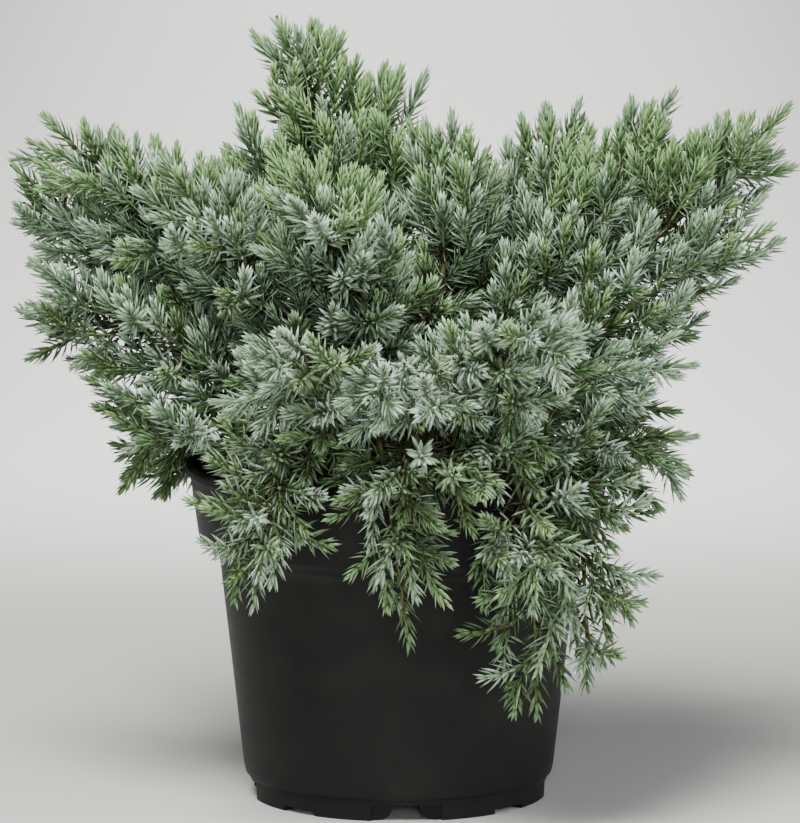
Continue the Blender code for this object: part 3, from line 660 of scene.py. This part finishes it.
# Each row: name, the height at which the bough leaves the trunk (none on the trunk's own tip), the bough's
# tip and the foliage's furthest tip as azimuth in degrees, metres out and metres up, and half the foliage's
# breadth in metres. Azimuth 0 is the right, 90 the back, 180 the left and 270 the front.
MASSES = (
    ("crown_spire", None, (153, 0.009, 0.206), (157, 0.059, 0.347), 0.040),
    ("crown_right", 0.203, (8, 0.018, 0.224), (44, 0.033, 0.300), 0.044),
    ("crown_left", 0.197, (186, 0.029, 0.219), (175, 0.070, 0.305), 0.034),
    ("crown_back", 0.197, (96, 0.020, 0.221), (122, 0.046, 0.324), 0.044),
    ("crown_front", 0.191, (242, 0.023, 0.206), (236, 0.080, 0.294), 0.046),
    ("left_arm", 0.180, (182, 0.042, 0.200), (180, 0.155, 0.303), 0.040),
    ("left_point", 0.174, (166, 0.049, 0.191), (172, 0.175, 0.280), 0.037),
    ("left_shelf", 0.186, (206, 0.034, 0.200), (199, 0.108, 0.289), 0.039),
    ("left_low", 0.168, (188, 0.050, 0.177), (186, 0.160, 0.241), 0.039),
    ("left_hem", 0.161, (199, 0.053, 0.163), (197, 0.141, 0.193), 0.030),
    ("right_shelf", 0.197, (22, 0.030, 0.211), (21, 0.085, 0.304), 0.038),
    ("right_peak", 0.191, (358, 0.038, 0.208), (3, 0.121, 0.312), 0.037),
    ("right_arm", 0.1845, (352, 0.049, 0.201), (357, 0.170, 0.308), 0.038),
    ("right_side", 0.179, (345, 0.053, 0.191), (352, 0.160, 0.270), 0.037),
    ("right_low", 0.173, (336, 0.050, 0.178), (341, 0.126, 0.212), 0.033),
    ("right_hem", 0.167, (331, 0.053, 0.166), (336, 0.132, 0.171), 0.033),
    ("front_right", 0.182, (300, 0.038, 0.188), (296, 0.142, 0.238), 0.051),
    ("front_left", 0.175, (252, 0.037, 0.184), (249, 0.142, 0.228), 0.051),
    ("front_middle", 0.199, (272, 0.038, 0.198), (271, 0.142, 0.216), 0.044),
    ("front_low", 0.167, (276, 0.041, 0.171), (274, 0.150, 0.176), 0.044),
    ("weeping_right", 0.155, (323, 0.062, 0.174), (311, 0.125, 0.069), 0.025),
    ("weeping_front", 0.1615, (303, 0.062, 0.174), (300, 0.120, 0.058), 0.033),
    ("weeping_middle", 0.156, (261, 0.062, 0.172), (272, 0.121, 0.092), 0.022),
    ("weeping_left", 0.1505, (237, 0.062, 0.173), (239, 0.122, 0.106), 0.024),
    ("back_left", 0.186, (134, 0.039, 0.200), (134, 0.152, 0.272), 0.051),
    ("back_right", 0.186, (48, 0.037, 0.203), (48, 0.148, 0.274), 0.051),
    ("back_middle", 0.172, (90, 0.041, 0.183), (91, 0.139, 0.218), 0.051),
    ("back_left_low", 0.162, (158, 0.049, 0.1665), (160, 0.132, 0.158), 0.042),
    ("back_right_low", 0.1655, (32, 0.048, 0.171), (31, 0.124, 0.173), 0.043),
)


def place(azimuth, out, up):
    """A point from its azimuth in degrees, its distance from the pot's axis and its height."""
    turn = math.radians(azimuth)
    return Vector((out * math.cos(turn), out * math.sin(turn), up))


def bough_path(leaves, tip, rings):
    """From the trunk's bark, straight out at first, then bending to the foliage."""
    centre = trunk_centre(leaves)
    out = Vector((tip.x - centre.x, tip.y - centre.y, 0)).normalized()
    start = centre + out * trunk_radius(leaves) * BOUGH_SET_IN
    reach = (tip - start).length
    middle = start + out * reach * BOUGH_STRAIGHT + UP * (tip.z - start.z) * BOUGH_RISE
    return [bezier(start, middle, tip, k / (rings - 1)) for k in range(rings)]


bough_points, bough_faces, bough_nodes = [], [], []
bough_paths = {}
for number, (name, leaves, tip, _, _) in enumerate(MASSES):
    if not leaves:
        bough_paths[name] = [trunk_centre(TRUNK_TIP - 0.004), trunk_centre(TRUNK_TIP)]
        continue
    path = bough_path(leaves, place(*tip), BOUGH_RINGS)
    radii = [blend(BOUGH_RADIUS, BOUGH_TIP_RADIUS, k / (BOUGH_RINGS - 1)) for k in range(BOUGH_RINGS)]
    radii[0] *= BOUGH_ROOT_SWELL
    points, faces = tube(path, radii, BOUGH_SIDES, bark_relief(20 + number, BOUGH_FURROWS))
    bough_faces += [[len(bough_points) + i for i in face] for face in faces]
    bough_points += points
    bough_nodes.append(name + "_bough")
    bough_paths[name] = path
boughs = add_piece("bough_bark", bough_points, bough_faces, [bark], smooth=60)
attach(boughs, "root")
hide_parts(*bough_nodes)

# Stems, twigs and shoots
# Each mass grows on from its bough: a stem, side sprays round it by the golden angle, and side shoots on
# each spray. Old wood is brown, and this year's stems are yellow-green.

GOLDEN_ANGLE = math.radians(137.508)
STEM_RADIUS = 0.0014
TWIG_RADIUS = 0.0006
SHOOT_RADIUS = 0.00045
SHOOT_TAPER = 0.6
STEM_RINGS, STEM_SIDES = 15, 8
SHOOT_RINGS = 7
TWIG_RINGS, TWIG_SIDES = 4, 4
# The stem's bend: it sets off along its bough and sags, and a weeping one first rises over the pot's lip
SET_OFF_SHARE = 0.35
STEM_SAG = 0.10
WEEP_DROP = 0.030
WEEP_OUT = 0.30
WEEP_RISE = 0.40
# How wide a mass is along its stem
FOOT_BULGE = 0.55
TAPER_FROM = 0.30
TAPER_OVER = 0.78
TAPER_POWER = 1.25
# The masses' own spaces, from seeds along their stems, and how far a shoot may stray out of its own
SEED_SHARES = (0.15, 0.40, 0.65, 0.90)
SEED_WEIGHT = 0.8
SEED_SPACING = 0.04
SPRAY_SLACK, SIDE_SLACK, BOUGH_SLACK = 0.004, 0.006, 0.010
# What a shoot keeps clear of: the pot, the model's box, the other shoots and the mass's leading tip
POT_CLEAR = 0.003
POT_SIDE_CLEAR = 0.002
COLLAR_CLEAR = 0.008
FLOOR_CLEAR = 0.01
BOX_CLEAR = 0.003
SHOOT_APART = 0.0053
OUTER_FROM = 0.45
TIP_OVERSHOOT = 0.0030
TOP_FALL = 0.30
OUTER_FALL = 1.20
# The leading shoot, and old short shoots on the outer half of the bough
LEADER_FROM = 0.62
LEADER_RINGS = 9
BOUGH_SHOOTS = 24
BOUGH_SPAN = (0.40, 0.98)
BOUGH_SHOOT_LEAN = 0.6
BOUGH_SHOOT_LENGTH = (0.020, 0.028)
BOUGH_SHOOT_LIFT = 0.2
# Sprays: how many for a mass of the usual breadth, where they sit, how they lean and how far they reach
SPRAYS_PER_METRE = 860
WEEPING_SPRAYS_PER_METRE = 520
USUAL_BREADTH = 0.040
SPRAY_FROM, SPRAY_SPAN, SPRAY_JITTER = 0.04, 0.92, 0.6
SPRAY_LEAN = (70, 26)
LEAN_JITTER = 7
LEAST_LEAN = 0.6
TURN_JITTER = 0.25
SPRAY_REACH = (0.78, 1.06)
SHORTENED = (1.0, 0.88, 0.76, 0.64, 0.52)
SHORTEST_SPRAY = 0.020
SHORTEST_CLAD = 0.017
# Growth towards the light and under its own weight
LIGHT_PULL = 0.20
WEIGHT_PULL = -0.10
LIGHT_TURN = (0.30, 0.70)
WEEPING_TURN = (-0.10, 0.12)
# Side shoots
SIDE_SHOOTS = 8
WEEPING_SIDE_SHOOTS = 5
SIDE_SPAN = (0.28, 0.86)
SIDE_JITTER = 0.5
SIDE_FORK = (28, 45)
SIDE_LENGTH = (0.017, 0.024)
SIDE_LIFT = 0.08


def bulge(share):
    """How wide a mass is along its stem, as a share of its half breadth."""
    rise = min(1.0, FOOT_BULGE + share)
    left = max(0.0, 1 - max(0.0, share - TAPER_FROM) / TAPER_OVER)
    return rise * math.sqrt(left**TAPER_POWER)


def segment_distances(start, end, starts, ends):
    """Shortest distance from one segment to each of many."""
    p, q = np.array(start), np.array(end)
    d1, d2 = q - p, ends - starts
    r = p - starts
    a, e = d1 @ d1, (d2 * d2).sum(axis=1)
    f, c, b = (d2 * r).sum(axis=1), r @ d1, d2 @ d1
    s = np.clip((b * f - c * e) / np.maximum(a * e - b * b, 1e-16), 0, 1)
    t = np.clip((b * s + f) / np.maximum(e, 1e-16), 0, 1)
    s = np.clip((b * t - c) / max(a, 1e-16), 0, 1)
    near = p + s[:, None] * d1 - starts - t[:, None] * d2
    return np.sqrt((near * near).sum(axis=1))


def clear_of_pot(point, margin):
    """True above the lip, outside it, or beside the pot's body under the collar."""
    out = math.hypot(point.x, point.y)
    if point.z > POT_HEIGHT + margin:
        return True
    if out > LIP_RADIUS + margin:
        return point.z > FLOOR_CLEAR
    beside = out > BODY_TOP[0] + margin + POT_SIDE_CLEAR
    return beside and FLOOR_CLEAR < point.z < COLLAR_FOOT[1] - COLLAR_CLEAR


class Mass:
    """The stem of one mass of foliage, on the same line as in the solid model."""

    def __init__(self, row, seed):
        self.name, leaves, _, tip, self.breadth = row
        self.rng = random.Random(seed)
        self.tip = place(*tip)
        bough = bough_paths[self.name]
        along = (bough[-1] - bough[-2]).normalized()
        self.start = bough[-1]
        self.weeps = self.tip.z < self.start.z - WEEP_DROP
        reach = (self.tip - self.start).length
        sweep, rise = UP * -STEM_SAG, Vector()
        if self.weeps:
            sweep = Vector((self.tip.x, self.tip.y, 0)).normalized() * WEEP_OUT
            rise = UP * WEEP_RISE * reach
        middle = blend(self.start, self.tip, 0.5) + sweep * reach * 0.5 + rise
        middle = blend(middle, self.start + along * reach * 0.5, SET_OFF_SHARE)
        self.path = [bezier(self.start, middle, self.tip, k / (STEM_RINGS - 1)) for k in range(STEM_RINGS)]
        self.frames = frames_along(self.path)
        self.length = sum((b - a).length for a, b in zip(self.path, self.path[1:]))

    def at(self, share):
        """The point at a share of the stem's length, with the tangent and two normals there."""
        where = min(max(share, 0.0), 1.0) * (STEM_RINGS - 1)
        i = min(int(where), STEM_RINGS - 2)
        axes = [blend(a, b, where - i).normalized() for a, b in zip(self.frames[i], self.frames[i + 1])]
        return blend(self.path[i], self.path[i + 1], where - i), axes


class Crown:
    """Every twig and every needle-clad shoot, with a test that keeps them apart and in their own space."""

    def __init__(self, masses):
        self.masses = masses
        self.seeds = np.array([m.at(s)[0] for m in masses for s in SEED_SHARES])
        self.owners = np.repeat(np.arange(len(masses)), len(SEED_SHARES))
        widths = [SEED_WEIGHT * m.breadth * bulge(s) for m in masses for s in SEED_SHARES]
        self.weights = np.array([width**2 for width in widths])
        self.starts, self.ends = np.zeros((0, 3)), np.zeros((0, 3))
        self.shoots = []

    def home(self, owner, point, slack):
        """True if the point is in its owner's space, or no further out of it than the slack."""
        power = ((self.seeds - np.array(point)) ** 2).sum(axis=1) - self.weights
        mine, others = power[self.owners == owner].min(), power[self.owners != owner].min()
        return others - mine > -2 * slack * SEED_SPACING

    def fits(self, owner, start, end, slack):
        """True if a shoot from start to end clears all that is there, in its owner's space."""
        probes = [blend(start, end, s) for s in (0.5, 0.8, 1.0)]
        edge = Vector((BOX_CLEAR,) * 3)
        low, high = cad_low + edge, cad_high - edge
        if not all(clear_of_pot(p, POT_CLEAR) for p in probes):
            return False
        if not all(low[k] < end[k] < high[k] for k in range(3)):
            return False
        if not self.home(owner, end, slack) or self.past_tip(owner, end):
            return False
        if not len(self.starts):
            return True
        outer = blend(start, end, OUTER_FROM)
        return segment_distances(outer, end, self.starts, self.ends).min() > SHOOT_APART

    def past_tip(self, owner, point):
        """True if the point is beyond the mass's leading tip, or above the line that falls away from it."""
        mass = self.masses[owner]
        away = point - mass.tip
        beyond = away.dot(mass.frames[-1][0])
        fall = OUTER_FALL if away.x * mass.tip.x + away.y * mass.tip.y > 0 else TOP_FALL
        above = -1 if mass.weeps else away.z + fall * math.hypot(away.x, away.y)
        return max(beyond, above) > TIP_OVERSHOOT

    def add(self, owner, path, clad_from, vigour):
        """A shoot along a path, with needles from a share of its length on."""
        self.shoots.append((owner, path, clad_from, vigour))
        middle = path[len(path) // 2]
        self.starts = np.vstack([self.starts, [tuple(middle)]])
        self.ends = np.vstack([self.ends, [tuple(path[-1])]])


def bent_path(start, aim, length, lift):
    """A shoot's line: it sets off along aim, and turns up towards the light or down with its weight."""
    end = start + (aim + UP * lift).normalized() * length
    middle = start + aim * length * 0.5
    return [bezier(start, middle, end, k / (SHOOT_RINGS - 1)) for k in range(SHOOT_RINGS)]


def grow(crown, owner):
    """Grows one mass: its leading shoot, the bough's short shoots, then each spray with its side shoots."""
    mass = crown.masses[owner]
    rng = mass.rng
    lead_shares = [blend(LEADER_FROM, 1.0, k / (LEADER_RINGS - 1)) for k in range(LEADER_RINGS)]
    lead = [mass.at(share)[0] for share in lead_shares]
    crown.add(owner, lead, 0.0, 1.0)
    bough = bough_paths[mass.name]
    for i in range(BOUGH_SHOOTS if len(bough) > 2 else 0):
        where = blend(*BOUGH_SPAN, i / BOUGH_SHOOTS) * (len(bough) - 1)
        centre = blend(bough[int(where)], bough[int(where) + 1], where - int(where))
        ahead = (bough[-1] - bough[0]).normalized()
        flank = ahead.orthogonal().normalized()
        flank.rotate(Matrix.Rotation(i * GOLDEN_ANGLE, 3, ahead))
        aim = (ahead * BOUGH_SHOOT_LEAN + flank).normalized()
        old_path = bent_path(centre, aim, rng.uniform(*BOUGH_SHOOT_LENGTH), BOUGH_SHOOT_LIFT)
        if crown.fits(owner, old_path[0], old_path[-1], BOUGH_SLACK):
            crown.add(owner, old_path, 0.15, rng.uniform(0.9, 1.05))
    sprays_per_metre = WEEPING_SPRAYS_PER_METRE if mass.weeps else SPRAYS_PER_METRE
    count = round(sprays_per_metre * mass.length * mass.breadth / USUAL_BREADTH)
    side_shoots = WEEPING_SIDE_SHOOTS if mass.weeps else SIDE_SHOOTS
    for i in range(count):
        share = SPRAY_FROM + SPRAY_SPAN * (i + rng.random() * SPRAY_JITTER) / count
        turn = i * GOLDEN_ANGLE + rng.uniform(-TURN_JITTER, TURN_JITTER)
        centre, (tangent, side, across) = mass.at(share)
        outward = side * math.cos(turn) + across * math.sin(turn)
        lean = math.radians(blend(*SPRAY_LEAN, share) + rng.uniform(-LEAN_JITTER, LEAN_JITTER))
        pull = WEIGHT_PULL if mass.weeps else LIGHT_PULL
        aim = (outward * math.sin(lean) + tangent * math.cos(lean) + UP * pull).normalized()
        reach = mass.breadth * bulge(share) * rng.uniform(*SPRAY_REACH) / math.sin(max(lean, LEAST_LEAN))
        reach = max(reach, SHORTEST_SPRAY)
        # A spray on the upper side turns up to the light, and one on the underside stays low
        sunny = 0.5 + 0.5 * outward.z
        lift = rng.uniform(*WEEPING_TURN) if mass.weeps else rng.uniform(*LIGHT_TURN) * sunny
        for shorter in SHORTENED:
            path = bent_path(centre, aim, reach * shorter, lift)
            if reach * shorter > SHORTEST_CLAD and crown.fits(owner, path[0], path[-1], SPRAY_SLACK):
                break
        else:
            continue
        crown.add(owner, path, 0.12, rng.uniform(0.9, 1.1))
        for s in range(side_shoots):
            along = blend(*SIDE_SPAN, (s + rng.random() * SIDE_JITTER) / side_shoots) * (SHOOT_RINGS - 1)
            step = min(int(along), SHOOT_RINGS - 2)
            foot = blend(path[step], path[step + 1], along - step)
            ahead = (path[step + 1] - path[step]).normalized()
            flank = ahead.orthogonal().normalized()
            flank.rotate(Matrix.Rotation(turn + s * GOLDEN_ANGLE, 3, ahead))
            fork = math.radians(rng.uniform(*SIDE_FORK))
            side_aim = (ahead * math.cos(fork) + flank * math.sin(fork)).normalized()
            side_path = bent_path(foot, side_aim, rng.uniform(*SIDE_LENGTH), lift + SIDE_LIFT)
            if crown.fits(owner, side_path[0], side_path[-1], SIDE_SLACK):
                crown.add(owner, side_path, 0.10, rng.uniform(0.85, 1.05))


masses = [Mass(row, 100 + number) for number, row in enumerate(MASSES)]
crown = Crown(masses)
for owner in range(len(masses)):
    grow(crown, owner)

# Twigs of the last few seasons: olive and rust, with a thin smooth skin
twig_bark, tree, shader = new_material("twig_bark", "#6A6238", 0.75)
two_tone(tree, shader, noise(tree, 0.009, 3.0), (0.38, "#43391F"), (0.62, "#5F6B38"))

# This year's soft stems, which show as yellow-green lines between the needles of a shoot's end
green_stem, _, _ = new_material("green_stem", "#7F995A", 0.60)

for owner, mass in enumerate(masses):
    radii = [blend(STEM_RADIUS, TWIG_RADIUS, k / (STEM_RINGS - 1)) for k in range(STEM_RINGS)]
    points, faces = tube(mass.path, radii, STEM_SIDES)
    kinds = [0] * len(faces)
    for shoot_owner, path, _, _ in crown.shoots:
        if shoot_owner != owner:
            continue
        shares = [k / (TWIG_RINGS - 1) for k in range(TWIG_RINGS)]
        more_radii = [blend(TWIG_RADIUS, SHOOT_RADIUS * SHOOT_TAPER, share) for share in shares]
        spine = [path[round(share * (len(path) - 1))] for share in shares]
        more_points, more_faces = tube(spine, more_radii, TWIG_SIDES)
        faces += [[len(points) + i for i in face] for face in more_faces]
        points += more_points
        # The faces run ring by ring from the foot, and the first third of a shoot is last year's wood
        kinds += [0] * TWIG_SIDES + [1] * (len(more_faces) - TWIG_SIDES)
    twigs = add_piece(mass.name + "_twigs", points, faces, [twig_bark, green_stem], kinds, smooth=60)
    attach(twigs, "root")

# Needles
# Short sharp awl-shaped needles in whorls of three, each whorl turned against the last. The side that faces
# the shoot's tip is hollow and white with wax, and the back is keeled and green. New growth is greener.

NEEDLE_LENGTH = 0.0100
NEEDLE_WIDTH = 0.0019
NEEDLE_VARIES = (0.85, 1.1)
NEEDLE_HOLLOW = 0.00022
NEEDLE_KEEL = 0.00050
NEEDLE_CURVE = 0.20
# The needle's two middle places and its tip: share of the length, share of the curve, half width
NEEDLE_LOW = (0.25, 0.06, 0.45)
NEEDLE_HIGH = (0.65, 0.42, 0.42)
NEEDLE_END = 0.96
# Whorls on the young end of a shoot, on its older part, and on weeping shoots
YOUNG_LENGTH = (0.022, 0.030)
WHORL_APART = 0.0023
OLD_WHORL_APART = 0.0034
WEEPING_WHORL_APART = 0.0031
# Lean from the shoot in degrees, from the old needles to those at the tip, which are shorter
LEAN_OLD, LEAN_TIP = 70, 13
WEEPING_LEAN_TIP = 24
LEAN_BEND = 0.90
WHORL_JITTER = 0.22
TILT_JITTER = 0.13
SHORTER_FROM = 0.6
TIP_SHORTER = 0.40
# How far the tips stay from the pot's lip and from its body
LIP_CLEAR = 0.0004
BODY_CLEAR = 0.003
# The inner tints are partly old needles' dull colour and partly painted shade for the crown's deep gaps
# The old tints stand for old needles and also serve as painted shade for whole shoots low in the crown
TINTS = (
    ("wax_pale", "#BDD2BE", 0.52),
    ("wax_blue", "#94AC92", 0.52),
    ("wax_green", "#88A27A", 0.50),
    ("wax_young", "#9DBB88", 0.48),
    ("wax_old", "#5E6F4E", 0.55),
    ("wax_inner", "#343C20", 0.60),
    ("leaf_pale", "#7D9776", 0.46),
    ("leaf_blue", "#556E51", 0.45),
    ("leaf_green", "#547246", 0.45),
    ("leaf_young", "#759761", 0.44),
    ("leaf_old", "#3E5229", 0.50),
    ("leaf_inner", "#2A3216", 0.60),
)
# The tints that a shoot may take, by the height of its tip as a share of the crown's height
CROWN_HEIGHT = 0.20
LOW_TO, SHADED_TO, TOP_FROM = 0.10, 0.45, 0.65
# The low and shaded sets lean to the old tints as painted shade under and inside the crown
SHADED_LOW_TONES = ("old", "green", "old", "blue", "old", "pale")
SHADED_TONES = ("blue", "old", "blue", "green", "pale", "blue")
LIT_TONES = ("blue", "pale", "blue", "green", "blue")
TOP_TONES = ("green", "young", "green", "blue")
TIP_FROM = 0.70
TIP_TINT = {"green": "young", "blue": "pale", "old": "green"}
TINT_INDEX = {name: index for index, (name, _, _) in enumerate(TINTS)}
UPPER = {tone: "wax_" + tone for tone in ("pale", "blue", "green", "young", "old", "inner")}
LOWER = {tone: "leaf_" + tone for tone in UPPER}

needle_materials = []
for name, colour, roughness in TINTS:
    # Leaf wax is dull and pale and scatters light; the bump is its ribbing, some 0.15 mm apart
    tint, tree, shader = new_material(name, colour, roughness, 1.45)
    bump(tree, shader, noise(tree, 0.0006, 2.0), 0.20, 0.0001)
    needle_materials.append(tint)

NEEDLE_POINTS = 7
NEEDLE_UPPER = [(0, 1, 2), (1, 3, 4), (1, 4, 2), (3, 5, 4)]
NEEDLE_LOWER = [(0, 6, 1), (1, 6, 3), (3, 6, 5), (0, 2, 6), (2, 4, 6), (4, 5, 6)]
NEEDLE_FACES = np.array(NEEDLE_UPPER + NEEDLE_LOWER)


def spray_tone(rng, mass, tip):
    """A whole shoot's tint: darker low down as painted shade, blue and pale in the middle, greener at the
    top.
    """
    height = (tip.z - POT_HEIGHT) / CROWN_HEIGHT
    if mass.weeps or height < LOW_TO:
        return rng.choice(SHADED_LOW_TONES)
    if height < SHADED_TO:
        return rng.choice(SHADED_TONES)
    if height > TOP_FROM:
        return rng.choice(TOP_TONES)
    return rng.choice(LIT_TONES)


def needle_arrays(owner):
    """Foot, direction, upper normal, length, width and tints of every needle of one mass."""
    mass = masses[owner]
    rng = random.Random(900 + owner)
    rows, tints = [], []
    for shoot_owner, path, clad_from, vigour in crown.shoots:
        if shoot_owner != owner:
            continue
        tone = spray_tone(rng, mass, path[-1])
        lean_tip = WEEPING_LEAN_TIP if mass.weeps else LEAN_TIP
        total = sum((b - a).length for a, b in zip(path, path[1:]))
        young = min(rng.uniform(*YOUNG_LENGTH), total * (1 - clad_from))
        old = total * (1 - clad_from) - young
        whorls = round(young / (WEEPING_WHORL_APART if mass.weeps else WHORL_APART))
        stations = [total - young + young * k / whorls for k in range(whorls + 1)]
        old_whorls = int(old / OLD_WHORL_APART)
        stations = [total - young - OLD_WHORL_APART * k for k in range(old_whorls, 0, -1)] + stations
        frames = frames_along(path)
        for k, gone in enumerate(stations):
            ripeness = max(0.0, 1 - (total - gone) / young)
            where = gone / total * (len(path) - 1)
            i = min(int(where), len(path) - 2)
            centre = blend(path[i], path[i + 1], where - i)
            axis, side, across = [blend(a, b, where - i) for a, b in zip(frames[i], frames[i + 1])]
            lean = math.radians(blend(LEAN_OLD, lean_tip, ripeness**LEAN_BEND))
            shorter = TIP_SHORTER * max(0.0, ripeness - SHORTER_FROM) / (1 - SHORTER_FROM)
            size = NEEDLE_LENGTH * vigour * (1.0 - shorter)
            zone = TIP_TINT.get(tone, tone) if ripeness > TIP_FROM else tone
            # A shoot's old part takes the inner tints: old needles, darkened as painted shade deep in the
            # crown
            if gone < total - young:
                zone = "inner"
            for j in range(3):
                turn = math.radians(120 * j + 60 * k) + rng.uniform(-WHORL_JITTER, WHORL_JITTER)
                tilt = lean + rng.uniform(-TILT_JITTER, TILT_JITTER)
                outward = side * math.cos(turn) + across * math.sin(turn)
                aim = (outward * math.sin(tilt) + axis * math.cos(tilt)).normalized()
                face = (axis - aim * axis.dot(aim)).normalized()
                foot = centre + outward * SHOOT_RADIUS * SHOOT_TAPER
                length = size * rng.uniform(*NEEDLE_VARIES)
                width = NEEDLE_WIDTH * rng.uniform(*NEEDLE_VARIES)
                rows.append((*foot, *aim, *face, length, width, *axis))
                tints.append((TINT_INDEX[UPPER[zone]], TINT_INDEX[LOWER[zone]]))
    return np.array(rows), np.array(tints)


def needle_mesh(rows, tints):
    """Seven points and ten faces for each needle: foot, two pairs on its edges, tip and keel."""
    foot, aim, face = rows[:, 0:3], rows[:, 3:6], rows[:, 6:9]
    length, width, axis = rows[:, 9:10], rows[:, 10:11], rows[:, 11:14]
    across = np.cross(aim, face)
    # It curves forward, and the bend grows with the square of the distance from its foot
    forward = axis * length * NEEDLE_CURVE
    low = foot + aim * length * NEEDLE_LOW[0] + forward * NEEDLE_LOW[1]
    high = foot + aim * length * NEEDLE_HIGH[0] + forward * NEEDLE_HIGH[1]
    hollow = face * NEEDLE_HOLLOW
    points = np.stack(
        [
            foot,
            low + across * width * NEEDLE_LOW[2] + hollow,
            low - across * width * NEEDLE_LOW[2] + hollow,
            high + across * width * NEEDLE_HIGH[2] + hollow,
            high - across * width * NEEDLE_HIGH[2] + hollow,
            foot + aim * length * NEEDLE_END + forward,
            blend(low, high, 0.5) - face * NEEDLE_KEEL,
        ],
        axis=1,
    )
    tips = points[:, 5]
    inside = (tips > np.array(cad_low)).all(axis=1) & (tips < np.array(cad_high)).all(axis=1)
    out = np.hypot(tips[:, 0], tips[:, 1])
    up = tips[:, 2]
    above, beyond = up > POT_HEIGHT + LIP_CLEAR, out > LIP_RADIUS + LIP_CLEAR
    below_collar = (out > BODY_TOP[0] + BODY_CLEAR) & (up < COLLAR_FOOT[1] - COLLAR_CLEAR)
    inside &= above | beyond | below_collar
    points, tints = points[inside], tints[inside]
    faces = NEEDLE_FACES[None] + NEEDLE_POINTS * np.arange(len(points))[:, None, None]
    slots = np.repeat(tints, (len(NEEDLE_UPPER), len(NEEDLE_LOWER)), axis=1)
    return points.reshape(-1, 3), faces.reshape(-1, 3), slots.reshape(-1)


def mesh_from_arrays(name, points, faces, materials, slots):
    """A mesh of triangles, made from arrays in one go."""
    mesh = bpy.data.meshes.new(name)
    mesh.vertices.add(len(points))
    mesh.vertices.foreach_set("co", points.astype(np.float32).ravel())
    mesh.loops.add(faces.size)
    mesh.loops.foreach_set("vertex_index", faces.astype(np.int32).ravel())
    mesh.polygons.add(len(faces))
    mesh.polygons.foreach_set("loop_start", np.arange(0, faces.size, 3, dtype=np.int32))
    for material in materials:
        mesh.materials.append(material)
    mesh.polygons.foreach_set("material_index", slots.astype(np.int32))
    mesh.update(calc_edges=True)
    return mesh


needle_total = 0
for owner, mass in enumerate(masses):
    points, faces, slots = needle_mesh(*needle_arrays(owner))
    used = sorted(set(slots.tolist()))
    slots = np.searchsorted(np.array(used), slots)
    shown = [needle_materials[i] for i in used]
    mesh = mesh_from_arrays(mass.name + "_needles", points, faces, shown, slots)
    needles = show(mass.name + "_needles", mesh)
    needle_total += len(faces)
    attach(needles, "root")
    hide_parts(mass.name)
print("shoots", len(crown.shoots), "needle faces", needle_total)
